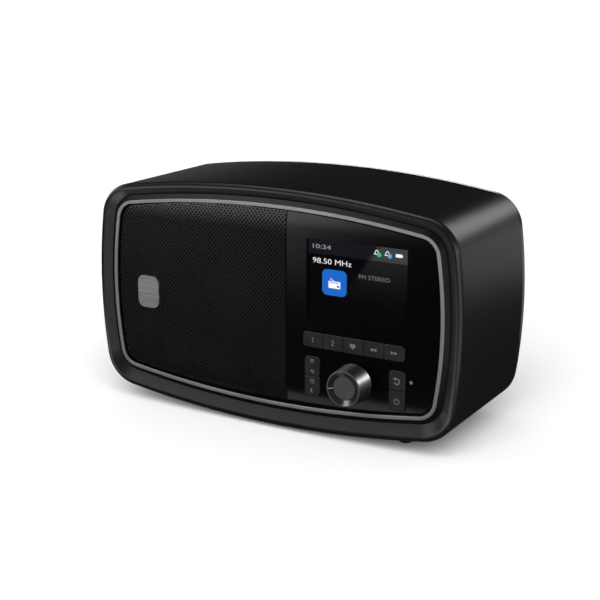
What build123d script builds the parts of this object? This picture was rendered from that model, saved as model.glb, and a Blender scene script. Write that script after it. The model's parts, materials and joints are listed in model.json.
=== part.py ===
from build123d import *
import math
import os

# Sizes in millimetres. Depths run from the cabinet's front edge to the back.

# Cabinet
cabinet_width = 226.0
cabinet_height = 132.0
cabinet_depth = 89.0
cabinet_wall = 3.0
top_fall_share = 0.0797
side_fall = 7.53
cabinet_corner = 20.4
front_round = 3.0
rear_round = 4.5
belly_clearance = 2.0

# Rim, groove, collar and trim ring, from the cabinet's outline inwards
rim_side = 10.1
rim_top = 9.2
rim_bottom = 11.8
rim_land = 3.4
groove_depth = 3.0
flange_thickness = 3.0
collar_spread = 2.5
collar_gap = 0.2
ring_width = 2.0
ring_thickness = 0.7
ring_front = 1.0
ring_edge_round = 0.3
ring_top_fall_share = 0.0814
ring_side_fall = 6.57
ring_corner = 11.5
tongue_width = 1.0
tongue_depth = 1.0
tongue_gap = 0.1

# Crowned front skin: grille and control panel
crown_radius = 60.0
panel_front = 2.4
grille_front = 3.0
grille_thickness = 1.0
floor_depth = 5.7
skin_gap = 0.15
panel_gap = 0.3
controls_from_edge = 49.5
panel_reach = 40.4
hole_spacing = 7.0
hole_side = 3.2
hole_border = 3.4
grille_rib_width = 2.0
badge_width = 14.0
badge_height = 18.4
badge_thickness = 0.8
badge_from_edge = 20.8
badge_drop = 3.0
badge_corner = 4.0

# Front layout, drawn for this half height of the window; it is scaled with the window
drawn_half_height = 53.5
drawn_crown_flat = 40.0
drawn_display_height = 43.0
drawn_display_rise = 18.0
drawn_row_height = 8.3
drawn_row_drop = 15.0
drawn_column_height = 21.8
drawn_column_drop = 35.1
drawn_knob_drop = 34.8
drawn_lamp_drop = 29.5
drawn_opening_top = 45.5
drawn_opening_bottom = 49.5
drawn_board_top = 47.0
drawn_board_bottom = 51.0

# Display
display_shift = 0.8
display_width = 58.2
lens_gap = 0.05
lens_front_thickness = 0.8
lens_flange_thickness = 0.8
lens_flange = 1.9
screen_border_side = 5.5
screen_border_end = 3.5
screen_thickness = 2.5
screen_gap = 0.3

# Keys
key_front = 1.4
key_gap = 0.25
key_divide = 0.35
key_corner = 1.8
key_edge_round = 0.35
key_travel = 0.6
row_width = 59.6
row_count = 5
column_width = 9.2
column_apart = 25.0
flange_reach = 0.8
flange_gap = 0.05
key_flange = 0.9
stem_radius = 1.2
switch_rest = 0.1
rocker_pivot_depth = 4.1
rocker_pin_radius = 0.8
rocker_pin_reach = 1.1
rocker_tail = 0.7
rocker_tilt = 3.0
running_gap = 0.05

# Status light
lamp_across = 33.4
lamp_radius = 0.9
lamp_flange_radius = 1.6
lamp_flange_thickness = 0.8

# Knob and encoder
knob_base_radius = 10.6
knob_front_radius = 9.75
knob_front = -10.5
knob_base_gap = 0.9
knob_rim = 0.5
knob_dish_depth = 1.8
knob_cap_radius = 6.35
knob_cap_drop = 1.2
knob_cap_round = 0.2
knob_wall = 1.4
knob_web = 2.2
knob_hub_radius = 4.6
pointer_angle = 187.0
pointer_width = 0.45
pointer_thickness = 0.12
pointer_end_gap = 0.3
shaft_radius = 3.0
shaft_flat = 1.0
shaft_fit = 0.02
bushing_radius = 3.6
bushing_gap = 0.3
bushing_proud = 0.4
encoder_side = 13.0
encoder_height = 4.8
encoder_roof = 0.8
rotor_radius = 5.0
rotor_thickness = 2.5
knob_travel = 0.5
push_rest = 0.2

# Baffle, pillars and boards
baffle_thickness = 3.0
fit_gap = 0.3
control_opening_width = 73.0
pillar_radius = 4.0
pillar_out = 8.0
pillar_pilot = 12.0
board_pad_height = 2.0
board_pad_radius = 2.6
board_thickness = 1.6
front_board_width = 83.0
front_board_screw_in = 3.2
switch_side = 4.5
switch_body = 1.8
switch_plunger = 0.8
switch_plunger_radius = 1.1

# Loudspeaker
speaker_opening_radius = 33.2
basket_radius = 43.0
basket_flange = 1.5
basket_seat_radius = 34.2
basket_seat_drop = 0.5
basket_wall = 1.2
basket_throat_radius = 24.5
basket_depth = 16.0
basket_hole_radius = 11.2
basket_lean_wall = 1.8
basket_windows = 6
basket_window_angle = 38.0
surround_thickness = 0.5
surround_lip = 1.6
surround_roll_height = 1.6
cone_rim_radius = 29.6
cone_neck_radius = 10.2
cone_depth = 9.6
cone_thickness = 0.6
coil_thickness = 0.5
coil_length = 9.0
dust_cap_height = 3.4
dust_cap_thickness = 0.5
magnet_radius = 22.0
magnet_hole_radius = 12.0
magnet_thickness = 10.0
yoke_thickness = 3.0
pole_radius = 8.9
speaker_screw_circle = 39.6

# Fasteners
screw_radius = 1.4
screw_head_radius = 2.6
screw_head_height = 1.5
screw_head_round = 0.5
screw_fit = 0.05
screw_grip = 5.0
case_screw_length = 12.0
counterbore_gap = 0.4
counterbore_depth = 1.8

# Rear cover
cover_reach = 7.0
cover_thickness = 3.0
lip_depth = 3.0
lip_wall = 1.6
socket_recess_width = 46.0
socket_recess_height = 18.0
socket_recess_depth = 1.2
socket_recess_corner = 3.0
sockets_across = 51.0
sockets_drop = 30.0
vent_count = 6
vent_length = 44.0
vent_height = 2.6
vent_pitch = 5.0
vent_across = -50.0
vent_rise = 24.5

# Main board, sockets and battery
main_board_left = 14.0
main_board_right = 88.0
main_board_top = 28.0
main_board_bottom = 44.0
main_board_post = 12.4
post_radius = 3.0
main_board_screw_in = 4.0
jack_from_middle = -11.0
jack_side = 11.0
jack_nose_radius = 3.5
jack_bore_radius = 1.8
jack_bore_length = 13.0
charge_from_middle = 11.0
charge_width = 9.4
charge_height = 3.6
charge_shell = 0.4
charge_depth = 6.5
charge_tongue_width = 6.6
charge_tongue_thickness = 0.7
socket_gap = 0.2
battery_width = 68.0
battery_height = 37.0
battery_depth = 19.0
battery_across = -46.0
battery_drop = 22.0
battery_round = 8.0
bracket_width = 16.0
bracket_sheet = 1.5
bracket_tab = 8.0
bracket_screw_grip = 2.4

# Flat cable and loudspeaker lead
cable_width = 16.0
cable_thickness = 0.8
cable_bend = 8.0
cable_front_drop = 14.0
cable_back_rise = 2.0
plug_depth = 3.0
plug_height = 5.0
plug_overhang = 2.0
lead_radius = 1.0
lead_bend = 10.0
lead_turn_depth = 50.0
lead_end_across = 24.0
lead_rise = 4.0

# Feet
foot_across = 74.5
foot_inset = 19.5
foot_radius = 4.4
foot_tip_radius = 1.9
foot_dome = 2.6
foot_pocket = 1.2
foot_gap = 0.1

# Aerial, folded along the back with its hinge on the right
aerial_from_edge = 35.0
aerial_rise = 42.0
hub_radius = 6.5
hub_thickness = 2.6
hub_gap = 0.3
hub_pin_radius = 2.5
hub_pin_head_radius = 3.6
hub_pin_head = 1.4
hub_boss_radius = 5.0
hub_boss_depth = 3.0
knuckle_radius = 2.9
knuckle_thickness = 3.0
knuckle_gap = 0.15
knuckle_offset = 4.0
ear_thickness = 1.8
ear_radius = 3.4
hinge_pin_radius = 1.0
tube_start = 8.0
plug_in_tube = 6.0
tube_outer = 3.0
tube_wall = 0.4
tube_step = 0.5
tube_length = 140.0
tube_end_step = 2.0
tube_start_step = 2.0
inner_tube_back = 10.0
tip_radius = 3.0
tip_length = 6.0
tip_round = 1.2
aerial_sections = 4

# Depths that follow from the sizes above
flange_back = groove_depth + flange_thickness
land_depth = ring_front + ring_thickness
baffle_back = flange_back + baffle_thickness
shell_back = cabinet_depth - cover_reach
cover_inside = cabinet_depth - cover_thickness
socket_face = cabinet_depth - socket_recess_depth
main_board_back = cover_inside - main_board_post
main_board_front = main_board_back - board_thickness
front_board_front = baffle_back + board_pad_height
front_board_back = front_board_front + board_thickness
switch_tip = front_board_front - switch_body - switch_plunger
stem_end = switch_tip - key_travel - switch_rest
knob_base = panel_front - knob_base_gap
knob_floor = knob_front + knob_dish_depth
aerial_depth = cabinet_depth + hub_gap + hub_thickness + knuckle_offset
overall_back = aerial_depth + ear_radius

# Heights and places that follow
front_y = -(knob_front + overall_back) / 2
cabinet_mid = belly_clearance + cabinet_height / 2
front_mid = cabinet_mid + (rim_bottom - rim_top) / 2
aerial_across = cabinet_width / 2 - aerial_from_edge
aerial_height = cabinet_mid + aerial_rise


def bow_radius(half_span, fall):
    return (half_span ** 2 + fall ** 2) / (2 * fall)


# Outline forms: half width, half height, top radius, side radius, corner radius
half_width = cabinet_width / 2
half_height = cabinet_height / 2
top_bow = bow_radius(half_width, top_fall_share * cabinet_height)
side_bow = bow_radius(half_height, side_fall)
cabinet_form = (half_width, half_height, top_bow, side_bow, cabinet_corner)
ring_half_width = half_width - rim_side
ring_half_height = half_height - (rim_top + rim_bottom) / 2
ring_top_bow = bow_radius(ring_half_width, 2 * ring_half_height * ring_top_fall_share)
ring_side_bow = bow_radius(ring_half_height, ring_side_fall)
ring_form = (ring_half_width, ring_half_height, ring_top_bow, ring_side_bow, ring_corner)

# Front layout
window_half_width = ring_half_width - ring_width
window_half_height = ring_half_height - ring_width
layout_scale = window_half_height / drawn_half_height
crown_flat = layout_scale * drawn_crown_flat
controls_x = window_half_width - controls_from_edge
panel_left = controls_x - panel_reach
display_height = layout_scale * drawn_display_height
display_x = controls_x + display_shift
display_z = front_mid + layout_scale * drawn_display_rise
row_height = layout_scale * drawn_row_height
row_z = front_mid - layout_scale * drawn_row_drop
column_height = layout_scale * drawn_column_height
column_z = front_mid - layout_scale * drawn_column_drop
rocker_stem_apart = (column_height + key_divide) / 8
rocker_reach = (rocker_stem_apart + stem_radius) * math.sin(math.radians(rocker_tilt))
rocker_stem_end = switch_tip - rocker_reach - switch_rest
knob_x = display_x
left_column_x = knob_x - column_apart
right_column_x = knob_x + column_apart
knob_z = front_mid - layout_scale * drawn_knob_drop
lamp_z = front_mid - layout_scale * drawn_lamp_drop
opening_bottom = front_mid - layout_scale * drawn_opening_bottom
opening_top = front_mid + layout_scale * drawn_opening_top
front_board_bottom = front_mid - layout_scale * drawn_board_bottom
front_board_top = front_mid + layout_scale * drawn_board_top
grille_right = panel_left - panel_gap
speaker_x = (grille_right - window_half_width) / 2
speaker_z = front_mid


# Outlines and basic solids

def inset_form(form, inset):
    return tuple(value - inset for value in form)


def corner_centre(form):
    wide, high, top_radius, side_radius, corner_radius = form
    top_reach = top_radius - corner_radius
    side_reach = side_radius - corner_radius
    top_z = high - top_radius
    side_x = wide - side_radius
    spacing = math.hypot(side_x, top_z)
    to_side_x = side_x / spacing
    to_side_z = -top_z / spacing
    along = (spacing ** 2 + top_reach ** 2 - side_reach ** 2) / (2 * spacing)
    aside = math.sqrt(top_reach ** 2 - along ** 2)
    return along * to_side_x + aside * to_side_z, top_z + along * to_side_z - aside * to_side_x


def bowed_outline(form):
    wide, high, top_radius, side_radius, corner_radius = form
    corner_x, corner_z = corner_centre(form)
    top = Vector(corner_x, corner_z - high + top_radius).normalized()
    side = Vector(corner_x - wide + side_radius, corner_z).normalized()
    middle = (top + side).normalized()
    centre = Vector(corner_x, corner_z)
    on_top = centre + top * corner_radius
    on_side = centre + side * corner_radius
    on_corner = centre + middle * corner_radius
    edges = []
    for flip in (1, -1):
        upper = (on_top.X, flip * on_top.Y)
        upper_left = (-on_top.X, flip * on_top.Y)
        edges.append(ThreePointArc(upper_left, (0, flip * high), upper))
        for mirror in (1, -1):
            start = (mirror * on_top.X, flip * on_top.Y)
            through = (mirror * on_corner.X, flip * on_corner.Y)
            end = (mirror * on_side.X, flip * on_side.Y)
            edges.append(ThreePointArc(start, through, end))
    for mirror in (1, -1):
        start = (mirror * on_side.X, on_side.Y)
        end = (mirror * on_side.X, -on_side.Y)
        edges.append(ThreePointArc(start, (mirror * wide, 0), end))
    return make_face(edges)


def at_depth(depth, height, across=0.0):
    return Plane(origin=(across, front_y + depth, height), x_dir=(1, 0, 0), z_dir=(0, -1, 0))


def prism(sketch, start, end, height, across=0.0):
    return extrude(at_depth(start, height, across) * sketch, amount=start - end)


def rod(radius, start, end, across, height):
    return prism(Circle(radius), start, end, height, across)


def block(left, right, start, end, bottom, top):
    sketch = Rectangle(right - left, top - bottom)
    return prism(sketch, start, end, (bottom + top) / 2, (left + right) / 2)


def turned(points, across, height):
    profile = Plane(origin=(across, front_y, height), x_dir=(1, 0, 0), z_dir=(0, 0, 1))
    axis = Axis((across, front_y, height), (0, 1, 0))
    return revolve(profile * make_face(Polyline(*points, close=True)), axis)


def taper(first_form, first_depth, first_mid, second_form, second_depth, second_mid):
    first = at_depth(first_depth, first_mid) * bowed_outline(first_form)
    second = at_depth(second_depth, second_mid) * bowed_outline(second_form)
    return loft([first, second], ruled=True)


def front_edges(solid):
    return solid.faces().sort_by(Axis.Y)[0].edges()


def back_edges(solid):
    return solid.faces().sort_by(Axis.Y)[-1].edges()


def screw(across, height, seat, tip):
    # Pan-head screw whose head stands behind its seat; the shank runs from seat to tip
    step = math.copysign(1.0, seat - tip)
    crown = seat + step * screw_head_height
    shoulder = crown - step * screw_head_round
    points = [
        (0, crown),
        (screw_head_radius - screw_head_round, crown),
        (screw_head_radius, shoulder),
        (screw_head_radius, seat),
        (screw_radius, seat),
        (screw_radius, tip),
        (0, tip),
    ]
    return turned(points, across, height)


def pilot(across, height, start, end):
    return rod(screw_radius + screw_fit, start, end, across, height)


# Places that repeat

def pillar_places():
    corner_x, corner_z = corner_centre(inset_form(cabinet_form, cabinet_wall))
    reach_x = corner_x + pillar_out
    reach_z = corner_z + pillar_out
    return [(x, cabinet_mid + z) for x in (-reach_x, reach_x) for z in (-reach_z, reach_z)]


def front_board_places():
    half = front_board_width / 2 - front_board_screw_in
    top = front_board_top - front_board_screw_in
    bottom = front_board_bottom + front_board_screw_in
    return [(controls_x + x, z) for x in (-half, half) for z in (bottom, top)]


def main_board_places():
    left = main_board_left + main_board_screw_in
    right = main_board_right - main_board_screw_in
    bottom = cabinet_mid - main_board_bottom + main_board_screw_in
    top = cabinet_mid + main_board_top - main_board_screw_in
    return [(x, z) for x in (left, right) for z in (bottom, top)]


def speaker_screw_places():
    reach = speaker_screw_circle * math.sqrt(0.5)
    return [(speaker_x + x, speaker_z + z) for x in (-reach, reach) for z in (-reach, reach)]


def bracket_screw_places():
    reach = battery_height / 2 + bracket_sheet + bracket_tab / 2
    return [(battery_across, cabinet_mid - battery_drop + z) for z in (-reach, reach)]


def foot_places():
    depths = {"front": foot_inset, "rear": cabinet_depth - foot_inset}
    sides = {"left": -foot_across, "right": foot_across}
    return {f"foot_{end}_{side}": (sides[side], depths[end]) for end in depths for side in sides}


def row_key_places():
    step = (row_width + key_divide) / row_count
    first = controls_x - row_width / 2 + (step - key_divide) / 2
    return [first + index * step for index in range(row_count)]


def column_key_height(upper):
    rise = (column_height + key_divide) / 4
    return column_z + (rise if upper else -rise)


# Cabinet and front frame

def belly_at(across):
    return belly_clearance + top_bow - math.sqrt(top_bow ** 2 - across ** 2)


def foot_top():
    return belly_at(foot_across) + foot_pocket


def foot_pocket_cut(across, depth):
    blank = Cylinder(foot_radius + foot_gap, foot_top(), align=(Align.CENTER, Align.CENTER, Align.MIN))
    return Pos(across, front_y + depth, 0) * blank


def make_cabinet():
    shell = prism(bowed_outline(cabinet_form), 0, shell_back, cabinet_mid)
    shell = fillet(front_edges(shell), front_round)
    cavity = bowed_outline(inset_form(cabinet_form, cabinet_wall))
    shell -= prism(cavity, flange_back, shell_back, cabinet_mid)
    rim_form = inset_form(cabinet_form, rim_land)
    groove_form = inset_form(ring_form, -collar_spread - collar_gap)
    shell -= taper(rim_form, 0, cabinet_mid, groove_form, groove_depth, front_mid)
    shell -= prism(bowed_outline(groove_form), groove_depth, flange_back, front_mid)
    for across, depth in foot_places().values():
        shell -= foot_pocket_cut(across, depth)
    return shell


def make_foot(across, depth):
    # Domed rubber bumper with a small flat to stand on
    side = Line((foot_radius, foot_top()), (foot_radius, foot_dome))
    half_turn = math.sqrt(0.5)
    sweep_x = foot_tip_radius + (foot_radius - foot_tip_radius) * half_turn
    sweep_z = foot_dome * (1 - half_turn)
    dome = ThreePointArc((foot_radius, foot_dome), (sweep_x, sweep_z), (foot_tip_radius, 0))
    rest = Polyline((foot_tip_radius, 0), (0, 0), (0, foot_top()), (foot_radius, foot_top()))
    profile = make_face([side, dome, rest])
    solid = revolve(Plane.XZ * profile, Axis.Z)
    return Pos(across, front_y + depth, 0) * solid


def make_baffle():
    plate_form = inset_form(cabinet_form, cabinet_wall + fit_gap)
    collar_form = inset_form(ring_form, -collar_spread)
    baffle = prism(bowed_outline(plate_form), flange_back, baffle_back, cabinet_mid)
    baffle += prism(bowed_outline(collar_form), groove_depth, flange_back, front_mid)
    baffle += taper(collar_form, groove_depth, front_mid, ring_form, land_depth, front_mid)
    window = bowed_outline(inset_form(ring_form, ring_width))
    baffle -= prism(window, land_depth, floor_depth, front_mid)
    baffle -= tongue(tongue_gap)
    baffle += grille_ribs()
    baffle -= rod(speaker_opening_radius, floor_depth - grille_thickness, baffle_back, speaker_x, speaker_z)
    baffle -= block(
        controls_x - control_opening_width / 2,
        controls_x + control_opening_width / 2,
        floor_depth,
        baffle_back,
        opening_bottom,
        opening_top,
    )
    for across, height in pillar_places():
        baffle += rod(pillar_radius, baffle_back, cover_inside, across, height)
        baffle -= pilot(across, height, cover_inside - pillar_pilot, cover_inside)
    for across, height in front_board_places():
        baffle += rod(board_pad_radius, baffle_back, front_board_front, across, height)
        baffle -= pilot(across, height, front_board_front - screw_grip, front_board_front)
    for across, height in speaker_screw_places():
        baffle -= pilot(across, height, floor_depth, baffle_back)
    return baffle


def grille_ribs():
    # Two upright ribs that carry the flat of the grille
    top = grille_front + grille_thickness
    left = speaker_x - basket_radius - grille_rib_width
    right = speaker_x + basket_radius
    ribs = Part()
    for start in (left, right):
        ribs += block(
            start, start + grille_rib_width, top, floor_depth, front_mid - crown_flat, front_mid + crown_flat
        )
    return ribs


def tongue(gap):
    shoulder = (ring_width - tongue_width) / 2
    outer = bowed_outline(inset_form(ring_form, shoulder - gap))
    inner = bowed_outline(inset_form(ring_form, shoulder + tongue_width + gap))
    return prism(outer - inner, land_depth, land_depth + tongue_depth + gap, front_mid)


def make_ring():
    outer = bowed_outline(ring_form)
    inner = bowed_outline(inset_form(ring_form, ring_width))
    ring = prism(outer - inner, ring_front, land_depth, front_mid)
    ring = fillet(front_edges(ring), ring_edge_round)
    return ring + tongue(0)


# Crowned skin: flat in the middle, rolled back towards the top and bottom

def crown_edges(front):
    high = window_half_height
    turn = math.asin((high - crown_flat) / crown_radius)
    edges = [Line((front, -crown_flat), (front, crown_flat))]
    for flip in (1, -1):
        points = []
        for angle in (0, turn / 2, turn):
            back = front + crown_radius * (1 - math.cos(angle))
            points.append((back, flip * (crown_flat + crown_radius * math.sin(angle))))
        edges.append(ThreePointArc(*points))
    return edges


def crown_fall():
    turn = math.asin((window_half_height - crown_flat) / crown_radius)
    return crown_radius * (1 - math.cos(turn))


def crowned(profile, left, right):
    side = Plane(origin=(left, front_y, front_mid), x_dir=(0, 1, 0), z_dir=(1, 0, 0))
    skin = extrude(side * profile, amount=right - left)
    outline = bowed_outline(inset_form(ring_form, ring_width + skin_gap))
    return skin & prism(outline, ring_front, floor_depth, front_mid)


def make_grille():
    high = window_half_height
    first = grille_front + crown_fall()
    second = first + grille_thickness
    edges = crown_edges(grille_front) + crown_edges(grille_front + grille_thickness)
    edges.append(Line((first, high), (second, high)))
    edges.append(Line((first, -high), (second, -high)))
    grille = crowned(make_face(edges), -window_half_width, grille_right)
    border = inset_form(ring_form, ring_width + skin_gap + hole_border)
    holes = Sketch() + [
        Pos(x - speaker_x, z) * Rectangle(hole_side, hole_side, rotation=45)
        for x, z in hole_places(border)
    ]
    return grille - prism(holes, ring_front, floor_depth, front_mid, speaker_x)


def hole_places(form):
    # Staggered holes, kept inside the bowed border and clear of the badge
    wide, high, top_radius, side_radius, corner_radius = form
    corner_x, corner_z = corner_centre(form)
    rows = math.floor(high / (hole_spacing / 2))
    columns = math.floor((grille_right + wide) / hole_spacing)
    badge_x, badge_z = badge_place()
    places = []
    for row in range(-rows, rows + 1):
        z = row * hole_spacing / 2
        shift = hole_spacing / 2 if row % 2 else 0.0
        for column in range(-columns // 2, columns // 2 + 1):
            x = speaker_x + column * hole_spacing + shift
            in_top = math.hypot(x, abs(z) + top_radius - high) < top_radius
            in_side = math.hypot(abs(x) + side_radius - wide, z) < side_radius
            past_corner = abs(x) > corner_x and abs(z) > corner_z
            off_corner = past_corner and math.hypot(abs(x) - corner_x, abs(z) - corner_z) > corner_radius
            beside_badge = abs(x - badge_x) > badge_width / 2
            clear_of_badge = beside_badge or abs(z + front_mid - badge_z) > badge_height / 2
            clear_of_panel = x < grille_right - hole_border
            if in_top and in_side and not off_corner and clear_of_badge and clear_of_panel:
                places.append((x, z))
    return places


def badge_place():
    return badge_from_edge - window_half_width, front_mid - badge_drop


def make_badge():
    badge_x, badge_z = badge_place()
    plate = RectangleRounded(badge_width, badge_height, badge_corner)
    return prism(plate, grille_front - badge_thickness, grille_front, badge_z, badge_x)


def make_panel():
    high = window_half_height
    first = panel_front + crown_fall()
    edges = crown_edges(panel_front)
    edges.append(Polyline((first, high), (floor_depth, high), (floor_depth, -high), (first, -high)))
    panel = crowned(make_face(edges), panel_left, window_half_width)
    panel -= lens_blank(lens_gap)
    panel -= screen_blank(screen_gap, lens_back(), floor_depth)
    panel -= prism(row_sketch(key_gap), ring_front, floor_depth, row_z, controls_x)
    for across in (left_column_x, right_column_x):
        panel -= prism(column_sketch(key_gap), ring_front, floor_depth, column_z, across)
    for upper in (True, False):
        panel -= rocker_pin(upper, running_gap)
    panel -= rod(bushing_radius + bushing_gap, ring_front, floor_depth, knob_x, knob_z)
    panel -= rod(lamp_radius + running_gap, ring_front, floor_depth, *lamp_place())
    return panel


# Display

def lens_back():
    return panel_front + lens_front_thickness + lens_flange_thickness


def lens_blank(gap):
    step = panel_front + lens_front_thickness
    face = Rectangle(display_width + 2 * gap, display_height + 2 * gap)
    rebate = Rectangle(display_width + 2 * (lens_flange + gap), display_height + 2 * (lens_flange + gap))
    window = prism(face, panel_front, step, display_z, display_x)
    return window + prism(rebate, step, lens_back() + gap, display_z, display_x)


def screen_blank(gap, start, end):
    width = display_width + 2 * (screen_border_side + gap)
    height = display_height + 2 * (screen_border_end + gap)
    return prism(Rectangle(width, height), start, end, display_z, display_x)


def screen_front():
    return lens_back() + lens_gap


def screen_back():
    return screen_front() + screen_thickness


# Keys

def row_sketch(gap):
    return RectangleRounded(row_width + 2 * gap, row_height + 2 * gap, key_corner + gap)


def column_sketch(gap):
    return RectangleRounded(column_width + 2 * gap, column_height + 2 * gap, key_corner + gap)


def key_cap(sketch, back, height, across, cell):
    cap = prism(sketch, key_front, back, height, across) & cell
    return fillet(front_edges(cap), key_edge_round)


def key_stem(across, height):
    return rod(stem_radius, flange_back_of_key(), stem_end, across, height)


def flange_front_of_key():
    return floor_depth + flange_gap


def flange_back_of_key():
    return flange_front_of_key() + key_flange


def make_row_key(across):
    step = (row_width + key_divide) / row_count
    left = across - (step - key_divide) / 2
    right = across + (step - key_divide) / 2
    half = row_height / 2
    cell = block(left, right, key_front, flange_back_of_key(), row_z - half, row_z + half)
    key = key_cap(row_sketch(0), flange_back_of_key(), row_z, controls_x, cell)
    reach = half + key_gap + flange_reach
    # The flange stays clear of the rounded ends of the slot
    key += block(
        left + key_corner,
        right - key_corner,
        flange_front_of_key(),
        flange_back_of_key(),
        row_z - reach,
        row_z + reach,
    )
    return key + key_stem(across, row_z)


def column_cell(across, upper, back):
    half = (column_height - key_divide) / 4
    height = column_key_height(upper)
    return block(
        across - column_width / 2, across + column_width / 2, key_front, back, height - half, height + half
    )


def make_column_key(upper):
    across = right_column_x
    height = column_key_height(upper)
    cell = column_cell(across, upper, flange_back_of_key())
    key = key_cap(column_sketch(0), flange_back_of_key(), column_z, across, cell)
    half = (column_height - key_divide) / 4 - key_corner
    reach = column_width / 2 + key_gap + flange_reach
    key += block(
        across - reach,
        across + reach,
        flange_front_of_key(),
        flange_back_of_key(),
        height - half,
        height + half,
    )
    return key + key_stem(across, height)


def rocker_pin(upper, gap):
    half = column_width / 2 + rocker_pin_reach + gap
    height = column_key_height(upper)
    pin = Cylinder(rocker_pin_radius + gap, 2 * half, rotation=(0, 90, 0))
    return Pos(left_column_x, front_y + rocker_pivot_depth, height) * pin


def make_rocker(upper):
    across = left_column_x
    height = column_key_height(upper)
    back = floor_depth + rocker_tail
    cell = column_cell(across, upper, back)
    rocker = key_cap(column_sketch(0), back, column_z, across, cell)
    rocker += rocker_pin(upper, 0)
    for offset in (-rocker_stem_apart, rocker_stem_apart):
        rocker += rod(stem_radius, back, rocker_stem_end, across, height + offset)
    return rocker


def switch_places():
    places = [(across, row_z) for across in row_key_places()]
    for upper in (True, False):
        height = column_key_height(upper)
        places.append((right_column_x, height))
        for offset in (-rocker_stem_apart, rocker_stem_apart):
            places.append((left_column_x, height + offset))
    return places


def make_switches():
    shoulder = front_board_front - switch_body
    group = []
    for across, height in switch_places():
        case = prism(Rectangle(switch_side, switch_side), shoulder, front_board_front, height, across)
        group.append(case + rod(switch_plunger_radius, switch_tip, shoulder, across, height))
    return Compound(children=group)


# Status light

def lamp_place():
    return controls_x + lamp_across, lamp_z


def make_lamp():
    across, height = lamp_place()
    flange_end = floor_depth + lamp_flange_thickness
    pipe = rod(lamp_radius, panel_front, front_board_front, across, height)
    return pipe + rod(lamp_flange_radius, floor_depth, flange_end, across, height)


# Knob and encoder

def dish_slope(radius):
    share = (radius - knob_cap_radius) / (knob_front_radius - knob_rim - knob_cap_radius)
    return knob_floor - share * knob_dish_depth


def make_knob_body():
    rim_inner = knob_front_radius - knob_rim
    web_back = knob_floor + knob_web
    hub_back = panel_front - bushing_proud - knob_travel - push_rest
    lean = (knob_base_radius - knob_front_radius) / (knob_base - knob_front)
    inner_front = knob_front_radius + lean * (web_back - knob_front) - knob_wall
    points = [
        (0, knob_floor),
        (knob_cap_radius, knob_floor),
        (rim_inner, knob_front),
        (knob_front_radius, knob_front),
        (knob_base_radius, knob_base),
        (knob_base_radius - knob_wall, knob_base),
        (inner_front, web_back),
        (knob_hub_radius, web_back),
        (knob_hub_radius, hub_back),
        (0, hub_back),
    ]
    body = turned(points, knob_x, knob_z)
    return body - prism(shaft_sketch(shaft_fit), web_back, hub_back, knob_z, knob_x)


def make_knob_cap():
    top = knob_front + knob_cap_drop
    cap = rod(knob_cap_radius, top, knob_floor, knob_x, knob_z)
    return fillet(front_edges(cap), knob_cap_round)


def make_pointer():
    # Thin bar laid up the dish, from the cap to the rim
    inner = knob_cap_radius + pointer_end_gap
    outer = knob_front_radius - knob_rim - pointer_end_gap
    points = [
        (inner, dish_slope(inner) - shaft_fit),
        (outer, dish_slope(outer) - shaft_fit),
        (outer, dish_slope(outer) - shaft_fit - pointer_thickness),
        (inner, dish_slope(inner) - shaft_fit - pointer_thickness),
    ]
    side = Plane(origin=(0, front_y, 0), x_dir=(1, 0, 0), z_dir=(0, 0, 1))
    bar = extrude(side * make_face(Polyline(*points, close=True)), amount=pointer_width / 2, both=True)
    return Pos(knob_x, 0, knob_z) * (Rot(0, -pointer_angle, 0) * bar)


def shaft_sketch(gap):
    radius = shaft_radius + gap
    keep = Pos(0, -shaft_flat) * Rectangle(2 * radius, 2 * radius)
    return Circle(radius) & (Pos(0, gap) * keep)


def make_shaft():
    end = front_board_front - knob_travel - push_rest
    return prism(shaft_sketch(0), knob_floor + knob_web + shaft_fit, end, knob_z, knob_x)


def make_encoder():
    start = front_board_front - encoder_height
    case = prism(Rectangle(encoder_side, encoder_side), start, front_board_front, knob_z, knob_x)
    case += rod(bushing_radius, panel_front - bushing_proud, start, knob_x, knob_z)
    case -= rod(shaft_radius + running_gap, panel_front - bushing_proud, front_board_front, knob_x, knob_z)
    return case - rod(rotor_radius + running_gap, start + encoder_roof, front_board_front, knob_x, knob_z)


def make_rotor():
    start = front_board_front - encoder_height + encoder_roof + flange_gap
    rotor = rod(rotor_radius, start, start + rotor_thickness, knob_x, knob_z)
    return rotor - prism(shaft_sketch(running_gap), start, start + rotor_thickness, knob_z, knob_x)


# Loudspeaker

def make_basket():
    front = baffle_back
    seat = front + basket_flange + basket_seat_drop
    back = front + basket_depth
    slope = basket_lean_wall
    points = [
        (basket_seat_radius, front),
        (basket_radius, front),
        (basket_radius, front + basket_flange),
        (basket_seat_radius + slope, front + basket_flange),
        (basket_seat_radius + slope, seat + basket_wall),
        (basket_throat_radius + slope, back),
        (basket_throat_radius + slope, back + basket_wall),
        (basket_hole_radius, back + basket_wall),
        (basket_hole_radius, back),
        (basket_throat_radius, back),
        (basket_seat_radius - surround_lip - slope, seat + basket_wall),
        (basket_seat_radius - surround_lip - slope, seat),
        (basket_seat_radius, seat),
    ]
    basket = turned(points, speaker_x, speaker_z)
    basket -= basket_windows_cut(seat + 2 * basket_wall, back - basket_wall)
    for across, height in speaker_screw_places():
        basket -= pilot(across, height, front, front + basket_flange)
    return basket


def basket_windows_cut(start, end):
    # Wedges between the basket's arms, cut well past its rim
    half = basket_radius * math.tan(math.radians(basket_window_angle / 2))
    wedge = make_face(Polyline((0, 0), (basket_radius, half), (basket_radius, -half), close=True))
    wedges = Sketch() + [Rot(0, 0, index * 360 / basket_windows) * wedge for index in range(basket_windows)]
    return prism(wedges - Circle(basket_throat_radius), start, end, speaker_z, speaker_x)


def surround_seat():
    return baffle_back + basket_flange + basket_seat_drop


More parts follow.
